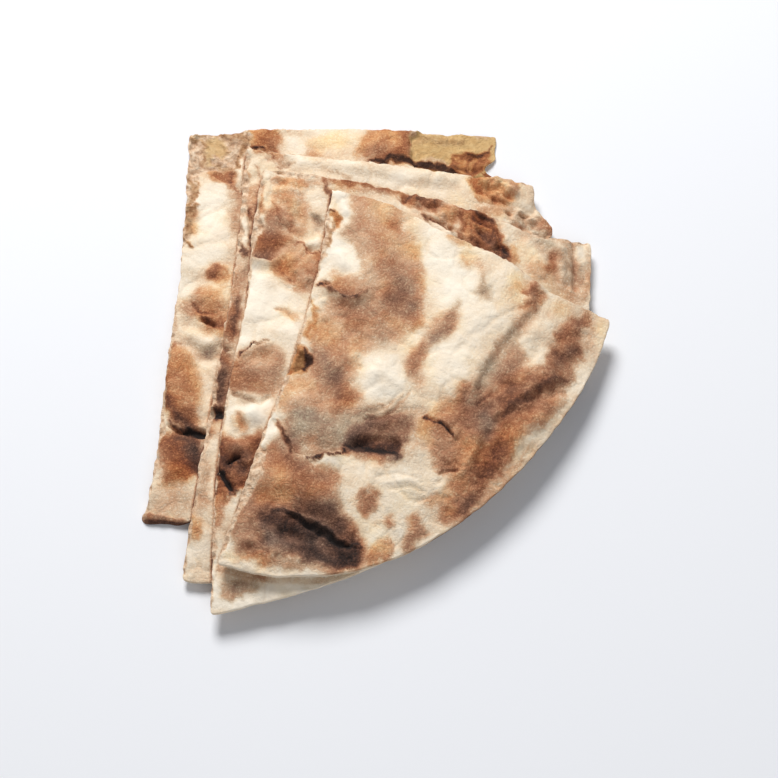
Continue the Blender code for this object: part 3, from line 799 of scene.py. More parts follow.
        ("rise", 1.4, 6, ((-74, -34, 2), (-72, -42, 3.5))),
        ("rise", 1, 3, ((-62, 36, 1.5), (-58, 36, 2))),
        ("rise", -1.1, 0.9, ((-49.5, 89, 0.3), (-47, 87, 0.4), (-44, 86, 0.3))),
    ),
    seed=10,
)
quarter_bottom.data.materials.append(bread("bottom_quarter_bread"))
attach(quarter_bottom, "root")
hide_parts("quarter_bottom")

# ---------------------------------------------------------------------------------------------------------
# The third quarter from the top. The same bread, laid over the lowest quarter and a little further round, so
# that a narrow strip of its skin shows along the left cut and a broad pale one along the upper cut.

quarter_third = bake_quarter(
    "quarter_third", THIRD,
    ledges=((1.4, 2.6, 2.8, 2, 1, 0.8, 0.8, 0.8, 1.2, 1.8, 1.8, 1.2, 0.9, 0.8, 0.8), (0.8, 0.5, 0.4, 0.4,
            1.2)),
    above=(("quarter_second", SECOND), ("quarter_top", TOP)),
    toasting=(
        ("cream", 0.8, 6, ((-48, 78, 3), (-30, 78, 5), (10, 72, 5), (30, 66, 5))),
        ("white", 0.6, 6, ((-15, 76, 3), (10, 71, 4), (28, 67, 3))),
        # the apex and the brown left edge below it
        ("orange", 0.75, 1.6, ((-51.5, 82, 1.2), (-50, 80.5, 0.8))),
        ("red_brown", 0.9, 1.8, ((-53, 80, 1), (-52, 73, 1.6), (-51.5, 68, 1.4))),
        ("tan", 1, 2.4, ((-49, 70), (-45, 70), (-44, 64), (-46, 56), (-54, 55), (-53, 64))),
        ("orange", 0.5, 2, ((-49, 67, 1), (-47.5, 62, 1.6))),
        ("brown", 0.6, 1.2, ((-46, 67, 0.6), (-45.5, 61, 0.6), (-46.5, 56, 0.6))),
        ("cream", 0.8, 1.6, ((-49.5, 76, 1.6), (-48.5, 79, 1.2))),
        ("grey_brown", 0.8, 1.2, ((-46.5, 77, 0.4), (-46, 72, 0.7))),
        ("cream", 0.8, 1.4, ((-51, 53, 1.2), (-49.5, 49, 1.4))),
        # painted shadow: a dark gap line down the crumbly skin
        ("dark", 0.95, 1.2, ((-48.5, 57.5, 0.4), (-48, 51, 0.7), (-47.5, 45, 0.8))),
        ("dark", 0.9, 1.8, ((-53, 46, 0.6), (-51, 42.5, 1.6), (-48.5, 41, 1.6))),
        # the narrow strip from the middle down to the rim
        ("tan", 0.95, 2.4, ((-60, 33), (-50, 33), (-51, 8), (-53, -24), (-67, -32), (-63, 0))),
        ("pink", 0.7, 3, ((-53.5, 36, 2.5), (-54, 30, 2.5))),
        # painted shade at the foot of the second quarter, along the strip's right side
        ("grey_brown", 0.8, 2.4, ((-49, 38, 1), (-50, 31, 1.4), (-50, 25, 1.2))),
        ("tan", 0.95, 3, ((-56, 27, 3), (-55, 21, 3))),
        ("brown", 0.35, 2.5, ((-55, 30, 1.6), (-56, 25, 1.6))),
        ("orange", 0.4, 2.5, ((-56, 24, 1.5),)),
        ("red_brown", 0.85, 3, ((-56, 18, 3), (-55, 12, 3.5), (-55, 7, 3))),
        # painted shade at the foot of the second quarter
        ("dark", 0.75, 2, ((-51.5, 22, 1), (-51.5, 16, 1.8), (-52, 9, 1.8))),
        ("pink", 0.8, 2, ((-55.5, 6, 1.4), (-55, 3.5, 1.4))),
        ("red_brown", 0.95, 2.5, ((-56, -1, 3.4), (-57, -8, 3.6), (-58, -16, 3.4), (-60, -24, 2.5))),
        ("grey_brown", 0.75, 3, ((-55.5, -5, 2.4), (-56.5, -12, 2.8), (-57, -18, 2.4))),
        ("dark", 0.6, 1.6, ((-56, -8, 1.4), (-58, -13, 1.4), (-57, -3, 1.2))),
        ("char_and_shade", 0.9, 1, ((-58, 5.5, 0.4), (-56.4, 2.6, 0.6), (-53.5, 1.4, 0.5))),
        ("dark", 0.9, 0.9, ((-57.4, 0, 0.4), (-56.6, -2.6, 0.4))),
        ("dark", 0.8, 1, ((-59.5, -12, 0.4), (-59, -16, 0.6))),
        ("char_and_shade", 0.9, 1.8, ((-61, -25, 0.6), (-58.5, -22.5, 1.8), (-55.5, -22.5, 2.4))),
        ("red_brown", 0.85, 1.8, ((-61.5, -28, 1), (-58.5, -30, 2))),
        ("tan", 0.75, 3.5, ((-62, -33, 2.5), (-61, -42, 2.5), (-61, -55, 3))),
        ("grey", 0.5, 3.5, ((-62, -44, 2.5), (-62, -56, 2.5))),
        ("orange", 1, 1.8, ((-65, -60, 1.4), (-63.5, -63, 2.4), (-64, -67, 1.4))),
        ("rust", 0.8, 1.4, ((-65.4, -62.6, 1), (-63.5, -65.6, 1.2))),
        # the pale strip along the upper cut, and its torn orange blister
        ("orange", 0.9, 1.2, ((-46, 83.6, 0.5), (-42, 82.9, 0.8), (-38, 81.9, 0.6))),
        ("dark", 0.7, 0.7, ((-45.5, 83, 0.25), (-42.5, 82.2, 0.35), (-40, 81.7, 0.25))),
        ("tan", 0.7, 1.4, ((-38, 81.5, 0.6), (-37, 79, 1))),
        ("grey", 0.9, 0.9, ((-42, 80.2, 0.5), (-39, 79.8, 0.6))),
        ("grey_brown", 0.9, 0.9, ((-38, 76.3, 0.4), (-35, 77, 0.6), (-33.4, 78.4, 0.4))),
        ("grey", 0.8, 1.2, ((-33, 75, 0.5), (-28, 74.8, 0.6))),
        ("tan", 0.8, 2, ((-28.5, 80, 1), (-26, 79.5, 1.6), (-23, 79, 0.8))),
        ("pink", 0.35, 4, ((-22, 76, 1.5), (-12, 76, 1.5), (4, 74, 1.5))),
        ("grey", 0.35, 4, ((14, 71, 1.5), (24, 70, 2), (30, 66, 1.5))),
        ("brown", 0.85, 1.2, ((-20, 73.6, 0.4), (-16, 72.8, 0.6), (-12, 71.6, 0.6))),
        ("orange", 0.95, 0.8, ((31, 71), (32, 76), (33.6, 73), (35.4, 76.4), (37.5, 72.5), (41, 74.5),
            (44, 74), (47, 76.5), (51, 76), (50.5, 70), (48, 66.5), (46.5, 62), (43, 61.5), (40, 59.5),
            (37, 63), (34.5, 62), (33, 67))),
        ("tan", 0.8, 2, ((38.5, 71.5, 1.8), (43, 71, 2.8), (46, 67, 2.2))),
        ("red_brown", 0.70, 1.2, ((32.5, 74.5, 0.4), (33.6, 70.5, 0.8), (35, 67.5, 0.9), (37.4, 66.4, 1))),
        ("red_brown", 0.5, 1.4, ((39, 64, 0.9), (42, 64.6, 0.7))),
        ("yellow", 0.7, 1.2, ((41.4, 69.6, 1), (44.6, 67.6, 0.9))),
        ("brown", 0.7, 1.4, ((47, 65, 0.7), (48.5, 68, 0.8))),
        ("red_brown", 0.7, 1.2, ((50.5, 76, 0.6), (50.5, 72, 0.7))),
        ("pink", 0.9, 2.4, ((35, 59, 1.2), (42, 59, 1.8), (50, 58, 1.5))),
        ("tan", 0.6, 1.6, ((38, 57, 0.8), (45, 56.5, 0.8), (53, 57, 0.8))),
        # painted shade: a grey stripe down the blunt right end
        ("grey", 0.6, 2.6, ((54.5, 71, 1.5), (54.5, 63, 2))),
        ("tan", 0.9, 2, ((46, 55), (54, 57), (60, 59), (64, 55), (64, 46), (52, 47), (46, 50))),
        ("grey", 0.9, 1.6, ((46, 55.5, 1), (51, 54, 1.2), (55, 51, 1.2))),
        ("grey_brown", 0.8, 0.9, ((46.4, 53.6, 0.4), (50, 52.6, 0.5), (53.4, 54.8, 0.4))),
        ("grey_brown", 0.8, 0.9, ((62, 52, 0.6), (60, 50.4, 0.5))),
        ("brown", 0.9, 1.2, ((57.6, 57, 0.6), (57.8, 53, 1), (60.5, 53.5, 1.2), (61.8, 56, 0.6))),
        ("brown", 0.6, 1, ((48, 50, 0.4), (51, 48.5, 0.5))),
        ("cream", 0.8, 1.2, ((59, 49.5, 1.4), (55, 48.5, 0.9))),
    ),
    relief=(
        # crumbly skin below the apex, and the dark hollows beside it
        ("lumps", 1, 1.6, ((-56, 86), (-48, 86), (-45, 70), (-46, 44), (-57, 44))),
        ("rise", -1.4, 1, ((-48.5, 57.5, 0.3), (-48, 51, 0.5), (-47.5, 44, 0.6))),
        ("rise", -1.4, 1.4, ((-53, 46, 0.4), (-51, 42.5, 1))),
        # the narrow strip, puffed between its cracks
        ("rise", 1.2, 4, ((-54, 34, 1.5), (-54.5, 24, 2), (-55, 14, 2), (-56, 8, 1.5))),
        ("rise", -1.6, 1, ((-58, 5.5, 0.3), (-56.4, 2.6, 0.5), (-53.5, 1.4, 0.4))),
        ("rise", -1.1, 1, ((-57.4, 0, 0.3), (-56.6, -2.6, 0.3))),
        ("rise", 1.2, 4, ((-57, -6, 1.5), (-58, -14, 1.5))),
        ("lumps", 0.8, 1.6, ((-62, 6), (-54, 0), (-56, -20), (-65, -26))),
        ("rise", 1.3, 2, ((-59.2, 6, 0.5), (-60.5, -8, 0.9), (-62.6, -20, 0.9), (-64, -32, 0.6))),
        ("rise", -2.2, 1.8, ((-61, -25, 0.5), (-58.5, -22.5, 1.4), (-55.5, -22.5, 1.8))),
        ("rise", 1.1, 4, ((-62, -36, 1.5), (-62, -50, 2))),
        # the torn orange blister and the blunt right end
        ("rise", 1.4, 3, ((37, 70, 2), (44, 71, 3), (47, 66, 1.5))),
        ("lumps", 1.7, 1.4, ((31, 76), (51, 77), (50, 66), (42, 59), (32, 65))),
        ("rise", -1.2, 1.6, ((33, 68, 0.5), (36.5, 64.5, 0.8), (43, 62, 0.6))),
        ("lumps", 2, 1.4, ((40, 60), (63, 61), (66, 45), (48, 45))),
        ("rise", -0.9, 1.5, ((56, 70, 0.4), (55, 62, 0.6), (54, 58, 0.5))),
        ("rise", -1.2, 1.2, ((44, 57.6, 0.3), (52, 57.8, 0.4), (57, 58, 0.3))),
        # the pale strip along the upper cut and its creases
        ("rise", 1, 4, ((-30, 79, 1.5), (-10, 76, 2), (8, 73, 2.5), (24, 70, 2))),
        ("rise", -0.9, 1, ((-42, 80.2, 0.3), (-39, 79.8, 0.4))),
        ("rise", -0.9, 1, ((-38, 76.3, 0.3), (-35, 77, 0.4), (-33.4, 78.4, 0.3))),
    ),
    seed=40,
)
quarter_third.data.materials.append(bread("third_quarter_bread"))
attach(quarter_third, "root")
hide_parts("quarter_third")

# ---------------------------------------------------------------------------------------------------------
# The second quarter from the top. Its skin has burst in blisters on the left and is nearly burnt along the
# upper cut, and its tip comes out under the top quarter at the lower end.

quarter_second = bake_quarter(
    "quarter_second", SECOND,
    ledges=((1.4, 2.2, 2.6, 1.2, 0.5, 0.4, 0.6, 1, 1.4, 1.2, 0.8, 0.8, 1, 1.2, 1), (1.2, 1.5, 0.8, 0.6, 0.9,
            0.6)),
    above=(("quarter_top", TOP),),
    toasting=(
        ("white", 0.85, 4, ((-50, 34), (-42, 33), (-36, 29), (-34, 20), (-29, 19), (-28, 8), (-31, 0),
            (-38, -1), (-47, -1), (-52, 6), (-51, 22))),
        # below the apex: rosy and cream skin with burst blisters
        ("pink", 0.95, 3, ((-38, 65), (-30, 65), (-26, 58), (-26, 46), (-34, 44), (-42, 47), (-42, 56),
            (-40, 60))),
        ("orange", 0.55, 3, ((-35, 60, 2.5), (-31, 55, 2.5))),
        ("brown", 0.45, 3, ((-38, 54, 1.5), (-36, 47, 2), (-33, 52, 1))),
        ("cream", 0.75, 1.8, ((-37.6, 58, 1.2), (-36.4, 55.4, 1))),
        ("cream", 0.6, 1.6, ((-30.5, 61, 1.2), (-30, 50, 1.4))),
        ("red_brown", 0.6, 1.2, ((-40, 59, 0.5), (-39, 55, 0.6), (-38, 50.5, 0.6), (-33, 48, 0.5))),
        ("cream", 0.9, 1.4, ((-41.5, 66.5, 0.9), (-41, 61, 1.6), (-42, 57.5, 1.6), (-40, 56, 0.8))),
        ("yellow", 0.7, 2, ((-38, 64, 1), (-34, 66, 0.8))),
        ("orange", 1, 1.6, ((-39, 69, 0.8), (-35, 68.6, 1.6), (-31, 67, 1.6), (-27.5, 65, 0.8))),
        ("tan", 0.7, 1.8, ((-27, 67.5, 1.2), (-22, 66.5, 1.2))),
        ("cream", 1, 1.8, ((-27.5, 63), (-20, 63), (-20, 54.5), (-27, 54.5))),
        ("cream", 0.7, 2, ((-36, 49, 1), (-34.5, 47, 1.4))),
        ("grey", 0.95, 2, ((-25.5, 53, 0.8), (-22.5, 52, 1.8), (-21.5, 48, 1.6))),
        ("grey_brown", 0.5, 1.6, ((-23, 52.5, 0.8), (-21.5, 49, 0.8))),
        ("brown", 0.85, 1.2, ((-43.4, 66, 0.5), (-43.5, 60, 0.6), (-44, 55.5, 0.6))),
        ("brown", 0.8, 2, ((-42.5, 53.5, 1.2), (-41, 48, 2))),
        ("brown", 0.95, 1.6, ((-46.5, 46), (-43, 48.5), (-40, 46), (-37, 47.5), (-34, 44), (-35, 40),
            (-37, 37), (-39.5, 35), (-42, 36.5), (-44.5, 35), (-47, 38))),
        ("rust", 0.95, 3.5, ((-44, 43, 2.4), (-38, 41, 3))),
        ("rust", 0.6, 3, ((-43, 43, 2.5), (-39, 40, 2.5))),
        ("dark", 0.7, 1.2, ((-45, 37.2, 0.6), (-42, 36, 0.6), (-39.5, 35.4, 0.7), (-36, 37.6, 0.6))),
        ("pink", 0.8, 2, ((-46.5, 37, 0.8), (-46, 34.5, 1), (-43, 34, 0.8))),
        ("tan", 1, 1.4, ((-38, 40), (-31, 44), (-27, 39), (-22, 38), (-23, 28), (-25, 20.5), (-31, 20),
            (-35, 26), (-40, 31), (-39.5, 35))),
        ("orange", 0.75, 2.6, ((-35, 36, 2), (-33, 31, 3), (-30, 25, 2.4))),
        ("pink", 0.5, 3, ((-31, 33, 2), (-29, 27, 2))),
        ("red_brown", 0.45, 2, ((-28, 33, 1.2), (-27, 28, 1.2))),
        ("dark", 0.5, 0.9, ((-37, 33.6, 0.3), (-35, 31, 0.4), (-34, 27, 0.3), (-31.6, 25, 0.3))),
        ("red_brown", 0.9, 1.5, ((-24, 37.5, 0.8), (-22.5, 34, 1.2), (-23, 29, 1))),
        ("cream", 0.9, 1.2, ((-28.5, 45), (-23.5, 46.5), (-21, 43), (-22.5, 39.5), (-26.5, 40.5),
            (-28.5, 42.5))),
        ("dark", 0.9, 0.7, ((-33, 40.5, 0.2), (-31.6, 42, 0.3), (-29.6, 42, 0.3), (-28.6, 40.6, 0.3),
            (-26.6, 38.7, 0.35), (-23.4, 38, 0.4))),
        ("tan", 0.85, 1.6, ((-37, 15.2, 0.6), (-34, 14.5, 1.2), (-31.5, 11.5, 1.3))),
        ("grey_brown", 0.9, 0.8, ((-37.3, 15.2, 0.5), (-35.6, 15, 0.4))),
        ("grey", 0.30, 4, ((-47, 8, 2), (-42, 6, 3), (-33, 3, 2))),
        # the brown patch under the crack, and the floury blister with a golden dimple
        ("brown", 0.85, 3.6, ((-53, -5), (-47, -2), (-44, -0.4), (-40, 0.4), (-36, -1), (-34, -6),
            (-36, -11), (-34, -16), (-40, -18.8), (-47, -16), (-56, -17))),
        ("tan", 0.5, 3, ((-47, -5, 1.6), (-38, -6, 1.6))),
        ("red_brown", 0.45, 3, ((-52, -8, 2), (-50, -13, 2.6), (-44, -11, 2))),
        ("orange", 0.5, 2.5, ((-44, -15, 1.6), (-39, -14, 1.6))),
        ("tan", 0.8, 2, ((-37, -4, 1.6), (-35, -12, 1.6))),
        ("char_and_shade", 0.95, 0.7, ((-50.2, -4.2, 0.25), (-48.4, -2.2, 0.35), (-46.6, -0.8, 0.5), (-45, 1.4, 0.35),
            (-43.4, 0.2, 0.35), (-41.5, 1, 0.25), (-39.6, 2.2, 0.2))),
        ("grey", 0.9, 1.6, ((-51, -18, 0.8), (-46, -19.6, 0.9), (-42, -21.6, 0.9), (-39.5, -19, 0.6))),
        ("white", 1, 2.2, ((-54, -22), (-50, -20.5), (-45, -21.5), (-41, -19.5), (-37.5, -21), (-38.5, -29),
            (-43, -32), (-48, -35), (-53, -32), (-56, -26))),
        ("orange", 0.85, 2.4, ((-49.4, -26, 1.4), (-47.8, -30.5, 1.9))),
        ("red_brown", 0.45, 3, ((-42.5, -33, 1.2), (-40.5, -31, 1))),
        ("red_brown", 1, 2, ((-57.5, -32), (-54, -33.5), (-49, -37), (-44, -34), (-39.5, -31), (-41, -40),
            (-46, -50), (-53, -58), (-54, -68), (-60, -68), (-58, -50))),
        ("rust", 0.6, 2.5, ((-50, -37, 2.4), (-44, -37, 3), (-46, -46, 3), (-55, -52, 3))),
        ("dark", 0.5, 2.5, ((-50, -39.5, 1.6), (-46, -43, 2.4), (-49, -48, 2.4), (-55, -42, 1.4))),
        ("pink", 0.6, 2.5, ((-55, -36, 1.2), (-52, -38.5, 1.2), (-47, -37, 1))),
        ("grey_brown", 0.45, 3, ((-46, -42, 1.6), (-49, -47, 2))),
        ("orange", 0.75, 2.2, ((-55.5, -55.5, 1.4), (-54.5, -60, 1.8), (-56, -65, 1.6))),
        ("tan", 0.6, 1.2, ((-56.4, -58.5, 0.6), (-55, -60.5, 0.6))),
        ("char_and_shade", 0.95, 0.8, ((-52.5, -43.3, 0.3), (-50.5, -41.8, 0.5), (-48, -41.2, 0.2))),
        ("char_and_shade", 1, 1, ((-56.5, -44.5, 0.5), (-53.6, -48, 0.8), (-51.4, -52, 0.8), (-49.4, -55, 0.3))),
        ("red_brown", 0.6, 1.6, ((-50, -46.5, 1.2), (-48.4, -51, 1))),
        ("dark", 0.8, 1.4, ((-57.5, -47, 0.8), (-57, -54, 0.9), (-57.5, -62, 0.6))),
        # the lower tip
        ("white", 1, 5, ((-54, -77, 4), (-54, -90, 4), (-35, -86, 4.5), (-10, -82, 4), (6, -80, 2))),
        ("tan", 0.6, 2.5, ((-54, -80, 1.2), (-51, -84, 1.6), (-40, -84, 1.4))),
        ("grey_brown", 0.75, 2.5, ((-52, -85.5, 1.4), (-47, -86.5, 2), (-41, -84, 1.2))),
        ("brown", 0.75, 1.5, ((-53, -87.5, 0.8), (-48, -88.5, 1), (-43, -87, 0.7))),
        # the nearly burnt crust along the upper cut
        ("cream", 0.9, 2, ((-43, 71.5, 1.2), (-34, 71, 1.2), (-22, 69, 1))),
        ("red_brown", 0.85, 1, ((-20, 68.5, 0.8), (-15, 67, 1.2), (-11, 68.6, 1.5), (-6, 66, 1),
            (2, 63.8, 1.1), (8, 62.4, 1), (14, 60.8, 0.8))),
        ("dark", 0.8, 0.8, ((-19.8, 66, 0.9), (-18.6, 63.4, 1.1))),
        ("dark", 0.5, 1.2, ((-10, 64.8, 0.4), (-4, 64.2, 0.5), (3, 61.5, 0.6), (6, 59.5, 0.6))),
        ("pink", 0.9, 1, ((10, 57, 0.8), (16, 54.5, 0.8))),
        ("red_brown", 0.9, 0.8, ((5, 60.5), (7, 63.4), (9, 61.6), (11, 64.6), (12.6, 62), (15, 64.2),
            (17, 61.6), (19.5, 63.4), (20.4, 60), (22, 57), (19.4, 54.6), (15, 56.5), (9, 58.4))),
        ("tan", 1, 1, ((20.5, 59), (24, 59.5), (28, 56.5), (27.6, 52), (25, 48), (20, 50.4), (19.6, 54.6))),
        ("orange", 1, 1.2, ((23.4, 57, 1.2), (25.6, 54, 1.4), (24.6, 50.6, 0.9))),
        ("red_brown", 0.9, 0.9, ((26.6, 59.4), (28.4, 56), (29.8, 59.4), (31.4, 56), (33.4, 57.6),
            (35, 53.6), (37.4, 55.6), (38, 50.2), (40, 50.6), (40.6, 46.6), (43.2, 45.4), (42.8, 41.6),
            (46, 38.6), (45, 35), (40, 36.5), (34, 38.5), (28, 40.5), (25, 44), (26.4, 48), (27.6, 52))),
        ("rust", 0.8, 1.6, ((30, 55, 1), (34, 51, 1.6), (33, 47, 1.4), (39, 47, 1.2))),
        ("orange", 0.75, 1.4, ((29, 52.5, 0.9), (30.6, 48, 1.4), (29, 44, 1.2))),
        ("orange", 0.6, 1.2, ((35.6, 47.6, 0.8), (38.6, 46.8, 0.8))),
        ("dark", 0.8, 0.9, ((8.4, 60.2, 0.7), (10.4, 61.4, 0.9))),
        ("dark", 0.7, 0.9, ((13, 58.6, 0.9), (15.6, 60.4, 0.8))),
        ("dark", 0.8, 0.8, ((17.6, 61.8, 0.7), (18.8, 57.6, 0.6))),
        ("dark", 0.9, 0.8, ((16, 52.2, 0.4), (18.6, 50.4, 0.7), (21.5, 48.4, 0.6), (25, 46, 0.5))),
        ("dark", 0.85, 1, ((29.6, 56, 0.5), (32.4, 54.4, 0.7), (35.4, 52.4, 1), (38.4, 51.2, 1))),
        ("dark", 0.7, 1, ((33.4, 50, 0.6), (31.6, 50.6, 0.5))),
        ("grey_brown", 0.80, 1.6, ((33.4, 46, 1.2), (36.4, 43.6, 1.8), (38, 40.4, 1.6))),
        ("dark", 0.75, 0.9, ((39, 47.6, 0.7), (38.6, 44.4, 0.6), (41.2, 43.4, 0.7))),
        ("dark", 0.95, 1.2, ((42, 40.4, 0.9), (43.4, 38, 1), (41, 36.8, 0.8))),
        ("dark", 0.6, 0.9, ((30.4, 46.2, 0.4), (29.5, 42.6, 0.4), (32.4, 41.6, 0.5))),
        ("orange", 0.9, 1.8, ((45.6, 40.5, 1), (46.5, 37, 2), (45, 35, 1))),
        # dull skin at the right end; its grey, and the grey brown lines along its creases, are painted shade
        ("yellow", 0.45, 4, ((50, 44, 3), (53, 36, 4), (50, 31, 2))),
        ("grey", 0.60, 5, ((50, 46, 2), (57, 43, 4), (66, 38, 4), (66, 28, 4), (55, 32, 3))),
        ("tan", 0.55, 5, ((56, 34, 3), (62, 27, 3), (68, 24, 2))),
        ("pink", 0.65, 3, ((61.5, 38, 3.6), (60.5, 32, 2.6))),
        ("brown", 0.95, 1.8, ((60.4, 38.5, 1.4), (59.6, 34.5, 1.5))),
        ("red_brown", 0.5, 1.2, ((59.6, 37.5, 0.9), (59.4, 34.5, 0.8))),
        ("tan", 0.8, 2, ((64, 46, 1), (67.5, 46.5, 1.8), (70, 46.5, 1))),
        ("brown", 0.6, 1.4, ((66, 47, 0.8), (69, 46.2, 0.9))),
        ("grey_brown", 0.6, 2.2, ((68, 44, 0.5), (68.6, 37, 0.8), (68, 28, 0.6))),
        ("grey_brown", 0.55, 2.2, ((73.6, 44, 0.8), (73.2, 36, 1), (71.5, 28, 0.9), (70, 22, 0.8))),
    ),
    relief=(
        # burst blisters and flaked skin below the apex
        ("lumps", 1.1, 1.6, ((-46, 74), (-20, 70), (-26, 60), (-40, 64), (-42, 46), (-49, 46))),
        ("lumps", 0.7, 2, ((-40, 66), (-26, 64), (-24, 46), (-40, 44))),
        ("rise", -1.2, 1, ((-43.6, 66, 0.3), (-43.6, 60, 0.4), (-43.8, 55, 0.4))),
        ("rise", 1.2, 4, ((-34, 58, 3), (-35, 52, 3))),
        ("rise", 0.5, 2, ((-28.5, 45), (-23.5, 46.5), (-21, 43), (-22.5, 39.5), (-26.5, 40.5),
            (-28.5, 42.5))),
        ("lumps", 1, 1.2, ((-31, 47), (-21, 48), (-21, 38), (-29, 38))),
        ("rise", -1.2, 2, ((-25, 52.5, 0.8), (-22.5, 50, 1))),
        # the crack with its lip, and the floury blister with its dimple
        ("rise", -1.3, 0.8, ((-50.2, -4.2, 0.2), (-48.4, -2.2, 0.3), (-46.6, -0.8, 0.4), (-45, 1.4, 0.3),
            (-43.4, 0.2, 0.3), (-41.5, 1, 0.2), (-39.6, 2.2, 0.15))),
        ("lip", 1.6, 5, ((-38, 2.5), (-41, 1.4), (-43.4, 0), (-44.8, 1.5), (-46.6, -0.6), (-50.5, -4))),
        ("rise", 1.2, 6, ((-44, -8, 3), (-42, -12, 3))),
        ("rise", 2.2, 7, ((-48, -27, 2.5), (-44, -25.5, 2.5))),
        ("rise", -1.4, 2.4, ((-49, -26.5, 0.7), (-47.6, -30.5, 0.9))),
        ("rise", -1.4, 1.6, ((-51, -18, 0.5), (-46, -19.6, 0.6), (-42, -21.6, 0.6), (-39.5, -19, 0.4))),
        # the red brown patch and its two cracks
        ("rise", 1.6, 4, ((-52, -38, 2), (-46, -38, 2), (-44, -45, 2))),
        ("lumps", 0.9, 2, ((-58, -34), (-40, -32), (-46, -52), (-58, -68))),
        ("rise", -2.2, 1, ((-52.5, -43.3, 0.4), (-50.5, -41.8, 0.7), (-48.4, -41.2, 0.3))),
        ("rise", -2.6, 1.2, ((-56.5, -44.5, 0.4), (-53.6, -48, 0.6), (-51.4, -52, 0.6), (-49.4, -55, 0.2))),
        ("rise", 0.9, 1.6, ((-52, -45.4, 0.5), (-49.6, -50, 0.7), (-47.6, -53.5, 0.4))),
        # folds and blisters further up the strip
        ("lip", 1.8, 4, ((-36, 36.5), (-39.5, 34.6), (-44, 35.2), (-47.5, 36))),
        ("rise", -0.9, 1, ((-37.3, 15.2, 0.4), (-34, 14.5, 0.4), (-31.5, 11.5, 0.4))),
        ("rise", 1, 5, ((-42, 26, 3), (-44, 14, 3.5))),
        ("rise", 0.9, 3, ((-31, 34, 2.5), (-28, 28, 2))),
        ("lumps", 1, 2, ((-40, 40), (-31, 44), (-22, 38), (-25, 21), (-35, 26))),
        # the nearly burnt crust along the upper cut
        ("lumps", 1.7, 1.4, ((5, 61), (9, 64), (17, 64), (25, 57), (28, 59), (41, 54), (46, 42), (43.5, 36),
            (31, 39), (18, 52), (8, 56))),
        ("rise", -1, 1, ((27, 52, 0.3), (29.4, 49, 0.5), (28.6, 45.6, 0.3))),
        ("rise", -1.2, 1, ((33.4, 50.6, 0.4), (36.4, 49, 0.5), (40.4, 47.4, 0.4), (41.6, 43.4, 0.4))),
        ("rise", 1, 1.4, ((31, 55, 0.4), (36, 53, 0.6), (41, 50, 0.4))),
        ("rise", 0.8, 4, ((10, 60, 1), (16, 60, 1.5), (29, 54, 1.5), (36, 50, 2), (41, 44, 1.5))),
        ("rise", -1.8, 1.6, ((15, 52.6, 0.4), (21, 49.6, 0.8), (26, 46.5, 0.5))),
        ("rise", -1, 2, ((35, 46, 1), (37.5, 43, 1))),
        # the right end
        ("rise", -1.6, 2.2, ((68, 46, 0.5), (68.5, 37, 0.8), (68, 27, 0.6))),
        ("rise", -0.9, 2.4, ((60.2, 38, 1), (59.6, 34.5, 1))),
        ("lumps", 0.6, 3, ((48, 50), (74, 50), (73, 24), (56, 26))),
        ("rise", 1.1, 4, ((52, 42, 2.5), (56, 32, 2.5))),
        ("rise", 1, 3, ((64, 42, 1.2), (64, 30, 1.2))),
    ),
    seed=70,
)
quarter_second.data.materials.append(bread("second_quarter_bread"))
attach(quarter_second, "root")
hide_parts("quarter_second")

# ---------------------------------------------------------------------------------------------------------
# The top quarter, which shows all over. Its upper skin puffed, folded over at a flap and charred in the
# hollows, which also carry painted shade, and its knife cut on the left has left a strip of crumb bare.

